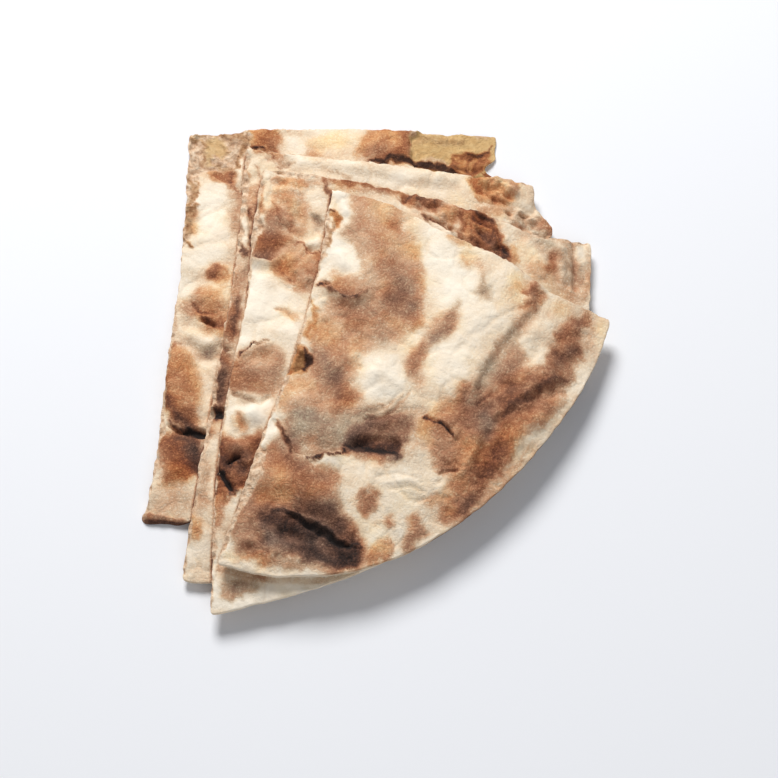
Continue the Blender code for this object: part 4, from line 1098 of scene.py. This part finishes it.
quarter_top = bake_quarter(
    "quarter_top", TOP,
    ledges=((0.3, 1.2, 2, 1.4, 1.2, 1, 1.2, 1.6, 0.8, 0.8, 2.6, 3, 2.4, 1.2, 0.8), (0.5, 0.3, 0.5, 0.6)),
    above=(),
    toasting=(
        # floury ground
        ("white", 0.8, 9, ((20, 45, 7), (24, 25, 9), (26, 5, 8), (22, -12, 5))),
        ("white", 0.7, 6, ((-10, -48, 4), (-2, -51, 3), (6, -58, 4))),
        ("tan", 0.12, 7, ((14, -44, 4), (16, -52, 4), (2, -61, 4), (-8, -66, 3))),
        ("cream", 0.5, 4, ((-10, -66, 2), (-4, -69, 2), (4, -70, 2), (6, -62, 2))),
        ("grey", 0.35, 5, ((10, -26, 3), (11, -38, 4), (8, -46, 3))),
        # toasted patch below the apex, from golden to greyish brown
        ("tan", 0.95, 2.6, ((-11, 64), (-12.5, 56), (-10.5, 48), (-14, 44), (-18, 43), (-15, 38), (-9.5, 36),
            (-8, 30), (-8.5, 26), (-14, 27), (-20, 26), (-17.5, 20), (-12, 17), (-8, 17), (-5, 19), (-8, 8),
            (-2, -1), (5, 1.5), (9, 2.5), (12.6, 4.5), (13.4, 10), (14, 18), (14, 25), (14.5, 31), (14, 35),
            (11, 39.5), (8.5, 43.5), (6.8, 48), (7.4, 54), (5, 58), (1, 62), (-5, 65))),
        ("orange", 0.35, 3, ((-8, 62, 2), (-2, 60, 3), (3, 55, 2), (0, 50, 2.5), (4, 45, 1.5))),
        ("pink", 0.55, 4, ((-9, 57, 2), (-5, 52, 3), (-3, 46, 3))),
        ("brown", 0.40, 4, ((-9, 45, 1.5), (-3, 41, 3), (0, 35, 3))),
        ("brown", 0.72, 4, ((1, 30, 4), (3, 20, 5), (0, 11, 6), (8, 9, 4))),
        ("pink", 0.7, 3, ((-14, 41.5, 2), (-9, 44, 2), (-4, 39, 2.5))),
        ("brown", 0.25, 2, ((3, 55.5, 1.2), (5.5, 52, 1), (4.5, 47.5, 1.2))),
        ("tan", 0.6, 3, ((7, 33, 2.5), (9, 28, 2))),
        ("orange", 0.80, 2.2, ((10.5, 38, 1.4), (11.6, 35, 1.8), (12, 32, 1))),
        ("grey_brown", 0.50, 6, ((6, 26, 2), (5, 18, 3.5), (2, 9, 4.5), (9, 13, 3.5), (-4, 5, 3))),
        ("grey", 0.55, 2.5, ((9, 24, 2), (10, 19, 1.5))),
        ("orange", 0.9, 1.8, ((11.2, 8, 0.8), (10.6, 5.2, 1.2))),
        ("brown", 0.55, 2, ((9.6, 11, 1), (9.6, 6, 1.4))),
        # golden brown ground between the amber tear and the mound
        ("tan", 0.9, 3, ((-27, 11), (-22, 14), (-12, 16), (-4, 19.5), (2, 12), (6, 8), (5, 2), (0, -2),
            (-6, -3), (-8, -8), (-9, -15), (-6, -18), (-7, -23), (-12, -27), (-20, -28), (-28, -30),
            (-34, -28), (-37, -19), (-31, -13), (-24, -11), (-24, -6), (-28, 0))),
        ("orange", 0.65, 3.5, ((-24, 8, 2), (-24, 0, 2.5), (-18, 6, 3), (-17, 0, 3), (-11, 6, 2))),
        ("brown", 0.55, 3.5, ((-14, 13, 2), (-9, 9, 3), (-10, 2, 3), (-16, -4, 3))),
        ("brown", 0.80, 3, ((-24, -4, 1.5), (-22, -9, 3.5), (-19, -16, 4.5), (-15, -8, 4), (-14, -22, 3.5))),
        ("grey_brown", 0.60, 3, ((-20, -7, 2), (-20, -16, 3), (-16, -13, 3), (-17, -25, 2))),
        ("tan", 0.60, 3, ((-31, -17, 2), (-31, -23, 2.5), (-28, -18, 2))),
        ("brown", 0.85, 2, ((-13, -22, 1.4), (-10, -20, 1.6), (-7.4, -20, 1.4))),
        ("pink", 0.55, 3, ((-12, -15, 1.5), (-9, -14, 1.5))),
        ("white", 1, 1.8, ((-19, 40), (-13.6, 39), (-9, 35), (-8, 28), (-14, 26), (-20, 26.6), (-21, 33))),
        ("cream", 0.8, 2.2, ((-18, 42, 1.2), (-14, 40.5, 1.4))),
        ("orange", 0.55, 3, ((-16, 23, 2.5), (-11, 22, 3))),
        ("pink", 0.5, 2, ((-14, 20, 1.5), (-9, 20, 1.5))),
        ("white", 1, 1.6, ((-17.5, 64, 1.8), (-16, 59, 2.4), (-14, 54, 2), (-12, 50, 1.2))),
        ("cream", 0.9, 2.2, ((-23, 20, 1.6), (-20, 18, 2.6), (-21.5, 14, 1.4))),
        ("tan", 0.5, 2, ((-17, 16, 1.4), (-19, 11.5, 1.6))),
        ("amber", 1, 1.2, ((-18, 51.5, 0.8), (-15.8, 48, 1.6), (-16.6, 45, 1))),
        ("toasted_crumb", 0.8, 1, ((-18.4, 47, 0.7), (-19, 42, 0.9), (-20, 37, 0.7))),
        ("amber", 1, 1.6, ((-23.8, 17, 0.3), (-24.6, 11, 0.9), (-26, 5, 1.1), (-26.8, 1, 0.4))),
        ("amber", 0.9, 1, ((-31, -2), (-29, -1.5), (-27, -4.5), (-24, -7.6), (-26.5, -10), (-30, -13),
            (-33, -12))),
        ("dark_crumb", 1, 1, ((-29.4, -3.4), (-27.6, -4.8), (-24.8, -7.8), (-27.4, -9.8), (-31, -11),
            (-31, -8), (-30, -5))),
        ("burnt_and_shaded_crumb", 1, 0.9, ((-28.4, -3.6, 0.4), (-26.8, -6.2, 0.8), (-25.6, -7.6, 1.2),
            (-27.4, -9.6, 0.6))),
        ("burnt_and_shaded_crumb", 0.9, 0.8, ((-18.5, 52.6, 0.6), (-17.6, 52.2, 0.4))),
        ("red_brown", 1, 1, ((-22.6, 23.6, 0.8), (-20.4, 22.8, 0.9), (-18.8, 21.6, 0.4))),
        ("char_and_shade", 0.9, 0.7, ((-22.4, 23.5, 0.4), (-20.8, 23, 0.4))),
        # painted shadow: the dark line cast by the blister's torn lip
        ("dark", 0.9, 0.8, ((-18.6, 21.4, 0.3), (-16, 18.4, 0.4), (-13, 16.7, 0.6), (-10, 16.3, 0.6),
            (-7.6, 17.5, 0.3), (-5, 20, 0.2))),
        ("pink", 0.6, 1.4, ((-16, 20.8, 0.7), (-11.6, 18.8, 0.9), (-7.6, 20.4, 0.6))),
        ("brown", 0.6, 1.2, ((-15, 13.6, 0.5), (-13.6, 15.2, 0.5))),
        # the mound above the hollow, with painted shade along its lower edge and in its wrinkles
        ("white", 1, 5, ((-6, -4), (0, -3.5), (6, -3.5), (9, -8), (9.5, -14), (7, -21), (1, -24), (-5, -23),
            (-9, -18), (-7, -12))),
        ("cream", 0.85, 3, ((0, -1, 2), (8, -1, 2.5), (12, -24, 2), (7, -24, 1.5), (-3, -24, 2))),
        ("grey", 0.75, 3, ((-12, -27, 2), (-6, -27, 2), (0, -27, 1.6), (6, -25, 1.4))),
        ("dark", 0.45, 1, ((-9, -26, 0.3), (-4, -26.6, 0.35), (0, -25.2, 0.35), (3.5, -22.2, 0.35),
            (7, -19.2, 0.2))),
        ("dark", 0.55, 1, ((-6, -29.4, 0.35), (0, -28.6, 0.45), (3.4, -26, 0.4), (6, -22.6, 0.35),
            (9, -19.6, 0.2))),
        # mottled streak right of it
        ("grey_brown", 0.80, 3, ((25, 14, 1.4), (22.5, 8, 2.6), (20, 3.5, 2.6), (15, -1.5, 2.2))),
        ("brown", 0.70, 2.6, ((13.5, -2.5, 1.6), (11, -6.5, 2.6), (11, -11, 2.2))),
        ("grey_brown", 0.55, 2, ((13.5, -3.5, 1), (10.5, -8, 2), (12, -12, 1.2))),
        ("tan", 0.70, 3, ((12.5, -15, 1.8), (12.5, -20, 1.5))),
        ("tan", 0.45, 3, ((15, 5, 1.5), (19, 9, 1.5))),
        # worn grey flap and the hollow under it, whose dark is partly char and partly painted shade
        ("grey", 0.95, 3, ((-33, -29), (-26, -26), (-19, -27), (-12, -27), (-9, -30), (-12, -35), (-12, -40),
            (-17, -42.5), (-24, -43.5), (-29, -42.5), (-32, -36))),
        ("grey_brown", 0.60, 4, ((-28, -29, 2), (-20, -31, 3), (-17, -37, 3))),
        ("brown", 0.65, 2.2, ((-32.5, -31, 1.2), (-30.6, -36, 1.3), (-28, -41, 1.2))),
        ("pink", 0.5, 3, ((-30, -30, 1.5), (-27, -36, 1.5), (-22, -40, 1.2))),
        ("grey_brown", 0.90, 3, ((-12.5, -38), (-10, -32), (-5, -29), (3, -28.5), (9, -26.5), (11.5, -27.5),
            (10, -34), (7, -40), (5.8, -46), (3, -46), (-3, -45), (-8, -44), (-12.5, -42))),
        ("dark", 0.85, 3, ((-11.5, -38), (-9, -33), (-5, -30.6), (3, -30), (8, -28.8), (9, -32), (6.4, -38),
            (5.2, -44), (-2, -43), (-8, -42))),
        ("char_and_shade", 0.50, 5, ((-8.5, -38.5, 1.6), (-4, -37, 2.6), (2, -37, 2.4))),
        ("grey_brown", 0.60, 3, ((-6, -33, 1.6), (-1, -32, 2.4), (6, -31, 2.4))),
        ("grey", 0.40, 3, ((-5, -34.5, 1.6), (1, -33.5, 2.6), (6, -33.5, 2))),
        ("char_and_shade", 1, 1.8, ((-12.3, -39.4, 0.7), (-6, -40.8, 1.4), (1, -41.6, 1.6), (4.4, -43.4, 1.3))),
        ("dark", 0.5, 2, ((5.4, -41, 0.5), (5, -44, 0.6))),
        ("brown", 0.7, 1.6, ((-12, -42, 0.6), (-8, -43.9, 0.9), (-1, -45.2, 0.8))),
        ("cream", 0.9, 2, ((-23, -45.2, 0.7), (-18, -45, 1.2), (-12, -44, 1.2), (-9, -46.5, 1.4))),
        # the crack on the right and the golden patch round it
        ("tan", 0.8, 3, ((10, -42, 1), (13, -36, 1.6), (13, -30, 1))),
        ("orange", 0.75, 3, ((13, -31), (16, -26), (21, -24), (25, -20), (26, -16), (31, -15.5), (32, -22),
            (30, -30), (27, -38), (22, -44), (15, -42), (12, -37))),
        ("tan", 0.6, 2, ((20, -27, 1.5), (18, -35, 2))),
        ("brown", 0.85, 3, ((29, -18, 1.6), (28.5, -25, 2.4), (25, -29, 1.8), (21, -34, 2.4),
            (19, -40, 2.5))),
        # the big toasted belt along the rim
        ("brown", 0.92, 3.2, ((30, -19), (36, -17.5), (42, -12.5), (49, -9), (55, -8), (58.5, -3), (61, 5),
            (66, 9), (68.5, 3), (67.5, -5), (65.5, -12), (62, -19), (57, -26), (52, -31.5), (46, -37),
            (43.5, -41), (38.5, -48), (32, -57), (26, -63.5), (20.5, -65), (18.5, -61), (19, -57.5),
            (23, -54), (22, -50.5), (17, -48.5), (17, -43), (21, -39), (26, -34), (28, -26))),
        ("brown", 0.60, 3, ((34, -26, 4), (33, -38, 4.5), (30, -47, 4), (42, -34, 4))),
        ("orange", 0.45, 4, ((51, -27, 4), (45, -33, 3.5), (29, -42, 4), (25, -50, 2.5))),
        ("tan", 0.75, 2.2, ((46, -13, 1.4), (52, -11, 1.6), (57, -10.5, 1.4))),
        ("tan", 0.70, 2.2, ((56, -18.5, 1.8), (61, -18.5, 1.8), (58, -22, 1))),
        ("grey_brown", 0.70, 3, ((44, -17.5, 1.8), (39, -22, 3), (35, -27, 2.5), (35, -34, 2.5))),
        ("red_brown", 0.50, 3, ((41, -30, 2.5), (38, -38, 3), (35, -46, 3), (30, -52, 2.5), (50, -24, 2))),
        # painted shade: the dark line along the valley of the second fold
        ("dark", 0.90, 1.8, ((64.5, -11.6, 0.5), (60, -12.8, 0.9), (55, -15.4, 0.9), (50, -18.8, 0.8),
            (45, -23, 0.7), (40, -27.4, 0.4))),
        ("dark", 0.30, 3, ((39.5, -38.5, 1.2), (38, -44, 2), (34.5, -49, 1.6))),
        ("dark", 0.45, 3, ((29, -56, 1.6), (25, -61, 1.4))),
        ("tan", 0.90, 1.4, ((27.8, -34, 0.7), (28.2, -37, 0.6))),
        ("dark", 0.7, 0.8, ((18.4, -48.8, 0.2), (22, -47.4, 0.3), (25, -47, 0.2))),
        ("orange", 0.75, 2.8, ((16, -57, 1.8), (21, -55.5, 2.2), (21, -60, 1.6))),
        ("cream", 0.85, 1.8, ((46.5, -39.5, 1.8), (50.5, -36, 1.6), (44, -42.6, 1.2))),
        ("pink", 0.90, 1.8, ((68.5, -17, 0.8), (62, -26, 0.9), (54, -36, 1.2), (46, -45.5, 2),
            (37.5, -55, 2.2), (31, -61.5, 1.6), (25, -66.5, 0.8))),
        ("cream", 0.75, 1.6, ((70, -15, 0.6), (52, -38.5, 0.8), (45, -47, 1.2), (37, -56.5, 1.2),
            (30, -63, 0.8))),
        # smudges on the pale ground between the folds; the grey and grey brown along the first fold's valley
        # are painted shade
        ("cream", 0.55, 4, ((44, 12, 2.5), (38, 3, 2.5), (33, -8, 2.5))),
        ("grey_brown", 0.75, 3.5, ((45, -1, 1.4), (45, -5, 3.4), (42, -10, 3), (37.5, -15, 2))),
        ("grey", 0.75, 4, ((54, 14, 0.8), (47.6, 7.5, 1.6), (42.5, 0, 2.4), (38, -7.5, 2.6), (34, -14, 2.2),
            (31, -22, 1))),
        ("grey_brown", 0.60, 1.2, ((51, 12, 0.3), (48, 9.5, 0.4), (44.5, 4.8, 0.5), (40.4, -1.2, 0.5),
            (36.4, -8.2, 0.4), (33.4, -14.5, 0.3))),
        ("dark", 0.75, 1, ((36.4, -19.6, 0.3), (34, -21.4, 0.4), (31.8, -23.4, 0.3))),
        ("pink", 0.45, 3, ((38, -17, 1.5), (33, -18, 1))),
        ("grey_brown", 0.65, 3, ((35.5, 25, 1.2), (34.8, 20, 2), (36, 17, 1.2))),
        ("orange", 0.65, 2.6, ((29.5, 34, 1.6), (29.2, 31, 1.8))),
        ("brown", 0.6, 1.4, ((28.2, 31, 0.6), (29.4, 33, 0.6))),
        ("tan", 0.55, 3, ((33, 33, 2.2), (36, 28, 2))),
        ("orange", 0.90, 2.2, ((25.5, 42, 1.2), (28, 39.4, 1.8), (31, 38, 0.8))),
        ("cream", 0.8, 1.6, ((36, 37.5, 1), (43, 33.5, 1.4))),
        ("yellow", 0.7, 4, ((41, 15, 2), (46, 22, 3), (47, 16, 3))),
        ("orange", 0.45, 3, ((45, 20, 1.5), (49, 23, 2))),
        ("brown", 1, 2.2, ((52.5, 24.5, 1.4), (51.8, 21, 2.4), (54.6, 20, 1.8))),
        ("brown", 0.95, 2.2, ((53.6, 17.5, 1.4), (50.5, 14.8, 1.6), (48, 12.4, 0.8))),
        ("red_brown", 0.85, 1.6, ((52.2, 23.2, 0.9), (50.8, 20.6, 1.2))),
        ("orange", 0.95, 1.4, ((53, 28, 0.7), (56.5, 25.6, 1.2), (58.5, 23.6, 0.6))),
        ("orange", 0.6, 2, ((55, 21, 1), (55.5, 17.5, 1))),
        ("tan", 0.5, 3, ((66, 17, 1.6), (60, 13, 2))),
        ("brown", 0.95, 2.4, ((72, 17, 0.8), (69.5, 12, 1.6), (66, 8.5, 2.8), (63, 5, 3), (64.5, 0.5, 3.4),
            (62.5, -5, 3.2), (58, -9, 2.6))),
        ("dark", 0.60, 2.4, ((66, 1, 1.2), (63.5, -2.5, 1.8), (60.5, -6, 1))),
        ("red_brown", 0.55, 2.4, ((70.5, 13, 1), (66.5, 8, 1.6), (62, 4, 1.6))),
        ("tan", 0.65, 2.5, ((73, 8, 2), (71.5, 2, 1.6))),
        ("yellow", 0.60, 3, ((77, 15, 2), (76, 8, 1))),
        # the lower left, from golden brown to the burnt fold
        ("brown", 0.78, 2.6, ((-35, -34), (-31, -38), (-28.5, -43), (-22, -46), (-17, -47), (-14.8, -52),
            (-14, -58), (-12, -64), (-8.5, -69), (-5.5, -75), (-9, -82), (-30, -82), (-46, -79), (-51, -70),
            (-49, -60), (-46, -52), (-42, -44))),
        ("orange", 0.75, 3.5, ((-37, -42, 2), (-36, -50, 4), (-40, -56, 3.5), (-33, -57, 3))),
        ("tan", 0.55, 3, ((-38, -47, 2), (-42, -53, 1.5), (-21, -48, 2))),
        ("pink", 0.55, 2.5, ((-17.5, -50, 1.2), (-16.5, -58, 1.2), (-14, -64, 0.8))),
        ("red_brown", 0.40, 3.5, ((-28, -49, 3), (-24, -55, 3), (-20, -58, 2.5), (-31, -45, 1.5))),
        ("tan", 0.80, 3, ((-46, -64, 1.6), (-48, -70, 2.5), (-43, -71, 2))),
        ("yellow", 0.80, 2.2, ((-51, -76.5, 1.2), (-47, -77.5, 1.2))),
        ("orange", 0.7, 2, ((-46, -79, 0.9), (-42, -78.5, 1.2), (-39, -80, 0.8))),
        ("grey_brown", 0.95, 4, ((-41, -69), (-39, -63), (-33, -59), (-25, -57.5), (-17, -59), (-12, -65),
            (-8, -70), (-5.5, -75), (-7, -80), (-15, -81.5), (-26, -81), (-31, -77), (-38, -76))),
        ("dark", 0.95, 4.5, ((-37, -64, 2), (-30, -68, 5), (-20, -73, 6), (-10, -76, 2.4))),
        ("char_and_shade", 0.75, 5, ((-31, -67, 2), (-21, -72.5, 5), (-12, -77, 2.5))),
        ("grey_brown", 0.75, 3, ((-31, -71, 1.6), (-24, -73, 2.2), (-18, -75.4, 1.6))),
        ("dark", 0.7, 3, ((-25, -60.5, 1.6), (-17, -64, 2), (-11, -69.5, 1.6))),
        ("char_and_shade", 1, 1.2, ((-36.5, -61), (-33, -61.6), (-29, -62.6), (-24, -64.4), (-19, -67), (-14.5, -70.2),
            (-10, -73), (-6, -74.6), (-9, -75.6), (-15, -73.2), (-20, -70), (-26, -66), (-31, -63.6),
            (-35, -62))),
        ("char_and_shade", 0.6, 3, ((-20, -78.4, 0.6), (-15, -78.8, 1.2), (-10, -77.6, 1.2))),
        ("cream", 0.75, 1.5, ((-36, -78.6, 0.5), (-31, -80, 0.9), (-27.5, -80.8, 0.6))),
        ("tan", 0.75, 1.6, ((-31, -81, 0.6), (-24, -82, 0.8), (-14, -82, 0.8))),
        # painted shade: the dark crevice along the flap's left edge, and the dark crack under its lower edge
        ("burnt_and_shaded_crumb", 0.7, 1.2, ((-37, -29.6, 0.1), (-34.6, -34, 0.6), (-32.8, -38, 0.9),
            (-30.2, -42.8, 0.3))),
        ("dark", 0.9, 1, ((-36.4, -30, 0.1), (-34, -34, 0.5), (-32.2, -37.5, 0.7), (-29.8, -42.8, 0.3))),
        ("white", 1, 1.2, ((-23.4, -45.6, 0.5), (-18, -45, 1.1), (-12.5, -43.8, 0.9))),
        ("char_and_shade", 1, 0.8, ((-25.2, -43.8, 0.3), (-21.2, -43, 0.7), (-17.2, -42.2, 0.5), (-12.8, -41, 0.4))),
        # round spots along the lower rim
        ("brown", 1, 1.8, ((-5.4, -55.4, 2.2), (-4.8, -58, 3.4), (-4.8, -60.4, 2.2))),
        ("tan", 0.8, 2.2, ((-8.6, -58.2, 1.2), (-9.4, -58.4, 0.8))),
        ("brown", 1, 1.8, ((0.8, -65, 1.6), (1.6, -67.2, 1.8))),
        ("tan", 0.8, 1.6, ((-1.8, -66, 0.8), (-1, -66.4, 0.8))),
        ("brown", 0.95, 2.2, ((11.2, -64.6, 2.2), (12, -68, 2.4), (9.6, -73, 2.2))),
        ("orange", 0.6, 2, ((9, -65.4, 1.2), (9.4, -69, 1))),
        ("brown", 0.95, 2, ((1, -73.2, 1.8), (1, -76.2, 2.8), (-3, -77.6, 1.8))),
        ("orange", 0.75, 2, ((-2, -75.6, 1.8), (1.5, -75.4, 1.6))),
        ("dark", 0.8, 0.9, ((2.6, -72, 0.3), (3.6, -73.6, 0.4))),
        ("char_and_shade", 1, 0.7, ((14.6, -28.4, 0.35), (17.6, -30, 0.2), (20.6, -31.2, 0.3), (22.9, -33.4, 0.45),
            (24, -36.2, 0.2))),
    ),
    relief=(
        # puffed skin from the apex down to the worn flap
        ("rise", 1.2, 10, ((-6, 52, 3), (-3, 38, 5), (-2, 24, 6), (-4, 8, 5))),
        ("rise", 0.8, 2.4, ((-16, 59, 1.6), (-13, 52, 1.2))),
        ("rise", -1, 2.4, ((-15.5, 49, 1), (-17, 45, 0.8))),
        ("rise", 1, 5, ((-12, -5, 3), (-19, -10, 3))),
        ("rise", 2.4, 7, ((-29, -23, 3), (-25, -31, 5.5), (-18, -35, 4))),
        # the folds on the right and the belt along the rim
        ("fold", 1.6, 17, ((29.5, -27), (32.8, -15), (36, -8.4), (40, -1.4), (45, 5.4), (51, 12), (57, 19))),
        ("rise", 0.8, 4, ((54, 8, 2), (48, -2, 2.5), (43, -10, 2))),
        ("fold", 1.9, 14, ((37, -30), (40, -27.2), (45, -22.8), (50, -18.6), (57, -14.6), (66, -10.5))),
        ("rise", 1.6, 6, ((61, -20, 1.5), (53, -27, 2.5), (45, -35, 2.5))),
        ("rise", 1.2, 6, ((31, -32, 2), (28, -48, 2))),
        # the lower left, round the burnt fold
        ("rise", 2, 8, ((-40, -50, 4), (-27, -54, 5), (-19, -57, 4))),
        ("rise", -1.2, 6, ((-32, -70, 2), (-22, -73, 3), (-12, -77, 1.5))),
        ("rise", 1, 6, ((-46, -72, 1.5), (-30, -79, 1.5))),
        # wrinkles right of the burnt fold
        ("rise", 0.5, 9, ((8, -52, 4), (14, -60, 3))),
        ("rise", -0.5, 1.4, ((-2, -50.4, 0.2), (5, -48.8, 0.3), (11, -50.6, 0.2))),
        ("rise", -0.5, 1.4, ((2, -54.6, 0.2), (9, -53.4, 0.3), (14.6, -55.4, 0.2))),
        ("rise", 0.4, 2, ((0, -52.6, 0.5), (8, -51.2, 0.6), (13, -53, 0.4))),
        # the pale ground on the right, and the tear at the left cut
        ("rise", 1, 9, ((22, 40, 4), (24, 22, 4), (18, 8, 3))),
        ("rise", 0.9, 4, ((53, 22, 2), (51, 17, 1.6))),
        ("rise", -1.5, 1.4, ((-37, -29.8, 0.1), (-34.6, -34, 0.5), (-32.8, -38, 0.6), (-30.2, -42.6, 0.2))),
        ("rise", 1, 4, ((66, 8, 2), (64, -1, 2.4))),
        # the flap's edge, the hollow under it, and the mound with its wrinkles
        ("lip", 2.2, 9, ((-13, -40.4), (-17.3, -41.8), (-21.3, -42.8), (-25, -43.7), (-29.3, -42.7),
            (-31.7, -37.3), (-33.2, -34), (-35.4, -30.5))),
        ("rise", -2.6, 3.5, ((-10, -38.5, 1), (-4, -38, 2.6), (3, -38.6, 2.6))),
        ("fold", 0.9, 6, ((11, -27), (3, -29), (-5, -30.5), (-11, -35), (-13, -39))),
        ("rise", 1.4, 11, ((-1, -12, 1.2), (3, -15, 1.5))),
        ("rise", -0.5, 1.2, ((-9, -26, 0.2), (-4, -26.6, 0.3), (0, -25.2, 0.3), (3.5, -22.2, 0.3),
            (7, -19.2, 0.2))),
        ("rise", -0.6, 1.2, ((-6, -29.4, 0.3), (0, -28.6, 0.4), (3.4, -26, 0.4), (6, -22.6, 0.3),
            (9, -19.6, 0.2))),
        ("rise", 0.3, 1.6, ((-6, -28, 0.3), (0, -27, 0.4), (3.6, -24.2, 0.3))),
        # the crack on the right with its lip, and the lumpy belt
        ("rise", -0.9, 0.7, ((14.6, -28.4, 0.2), (17.6, -30, 0.2), (20.6, -31.2, 0.25), (22.9, -33.4, 0.35),
            (24, -36.2, 0.2))),
        ("lip", 0.7, 5, ((14.2, -28), (17.6, -29.6), (20.6, -30.8), (23.1, -33.2), (24.6, -36.8))),
        ("lumps", 0.7, 3, ((28, -18), (44, -12), (60, -6), (64, -14), (52, -30), (40, -46), (26, -62),
            (18, -58), (16, -44), (26, -34))),
        ("rise", -0.5, 4, ((39, -38, 0.6), (36.5, -45, 0.8), (33, -51, 0.5))),
        ("rise", 1.1, 3.5, ((34, -31, 1.5), (31, -40, 1.5), (27, -47, 1))),
        ("rise", -0.8, 0.8, ((18.5, -48.7, 0.2), (22, -47.4, 0.3), (25.2, -47, 0.2))),
        ("rise", -0.8, 1, ((36.4, -19.6, 0.2), (34, -21.4, 0.3), (31.8, -23.4, 0.2))),
        # the burnt fold's edge and wedge
        ("lip", 1.3, 8, ((-5, -74.4), (-10, -72.9), (-14.4, -70.4), (-19.2, -67), (-24, -64.6), (-30, -62.6),
            (-37, -61))),
        ("rise", -1, 4, ((-31, -65, 0.5), (-24, -67.6, 1), (-17, -71.6, 1.2), (-10, -75.2, 0.6))),
        ("rise", -1.4, 1.2, ((-35.5, -62), (-29, -63.4), (-24, -65.2), (-19, -67.8), (-14.5, -71),
            (-10, -73.6), (-6.6, -74.8), (-14, -73.8), (-20, -70.6), (-26, -66.8), (-31, -64.4))),
        ("lumps", 0.7, 3, ((-44, -64), (-30, -58), (-12, -66), (-6, -78), (-28, -81), (-46, -78))),
        # the blister below the apex, and the pocket at the left cut
        ("lip", 2.6, 5, ((-4, 21), (-8, 17.6), (-11.4, 16.7), (-14, 17.4), (-17, 20), (-20, 23.6))),
        ("rise", -2.3, 0.9, ((-20.4, 23.4, 0.4), (-19.2, 22.2, 0.8))),
        ("rise", 1.7, 6.5, ((-15.4, 34, 0.6), (-13.8, 30, 0.6))),
        ("rise", 1.2, 5, ((-20.5, 16, 0.5),)),
        ("rise", -1.8, 0.8, ((-29.6, -2), (-28, -4.4), (-25.6, -7.2), (-25.4, -8.4), (-27.6, -10),
            (-31, -11.6), (-33, -12), (-33, -3))),
        ("lumps", 0.5, 4, ((-26, 12), (-8, 18), (6, 4), (-6, -4), (-8, -24), (-30, -28), (-34, -18),
            (-26, -10))),
    ),
    seed=100,
)
quarter_top.data.materials.append(bread("top_quarter_bread"))
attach(quarter_top, "root")
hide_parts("quarter_top")

# ---------------------------------------------------------------------------------------------------------
# A pale matt floor, a soft window light from above the picture with a weak fill from below it and a bright
# room round them, and the camera, which looks down at the stack at a steep slant.

bpy.ops.object.select_all(action="DESELECT")
bpy.ops.mesh.primitive_plane_add(size=6.0, location=(0.0, 0.0, 0.0))
floor = bpy.context.object
floor.name = floor.data.name = "floor"
floor_white = bpy.data.materials.new("floor_white")
floor_white.use_nodes = True
floor_shader = floor_white.node_tree.nodes["Principled BSDF"]
floor_shader.inputs["Base Color"].default_value = colour(232, 233, 236)
floor_shader.inputs["Roughness"].default_value = 0.9
floor.data.materials.append(floor_white)

room = bpy.data.worlds.new("room")
room.use_nodes = True
backdrop = room.node_tree.nodes["Background"]
backdrop.inputs["Color"].default_value = colour(238, 242, 250)
backdrop.inputs["Strength"].default_value = 0.22
bpy.context.scene.world = room

LIGHT_TARGET = (0.0, 0.0, 0.0)
LIGHTS = (  # name, place, width in metres, power in watts
    ("window_light", (-0.26, 0.86, 0.96), 0.60, 20.0),
    ("soft_fill", (0.25, -0.75, 0.80), 0.80, 2.6),
)
for name, place, size, power in LIGHTS:
    bpy.ops.object.light_add(type="AREA", location=place)
    lamp = bpy.context.object
    lamp.name = name
    lamp.data.shape, lamp.data.size, lamp.data.energy = "DISK", size, power
    way = [goal - start for goal, start in zip(LIGHT_TARGET, place)]
    lamp.rotation_euler = (math.acos(-way[2] / math.dist(place, LIGHT_TARGET)), 0.0,
                           math.atan2(way[1], way[0]) - math.pi / 2)

VIEW_TARGET = (0.002, -0.014, 0.010)
VIEW_RISE, VIEW_DISTANCE = math.radians(64.0), 0.70
PICTURE_WIDTH = 778 * 0.345 * MM  # what the picture spans at the target, its pixels times their size
SENSOR_WIDTH = 36.0
bpy.ops.object.camera_add(
    location=(VIEW_TARGET[0], VIEW_TARGET[1] - VIEW_DISTANCE * math.cos(VIEW_RISE),
              VIEW_TARGET[2] + VIEW_DISTANCE * math.sin(VIEW_RISE)),
    rotation=(math.pi / 2 - VIEW_RISE, 0.0, 0.0))
camera = bpy.context.object
camera.data.sensor_width = SENSOR_WIDTH
camera.data.lens = SENSOR_WIDTH * VIEW_DISTANCE / PICTURE_WIDTH
bpy.context.scene.camera = camera
bpy.context.scene.view_settings.view_transform = "Standard"
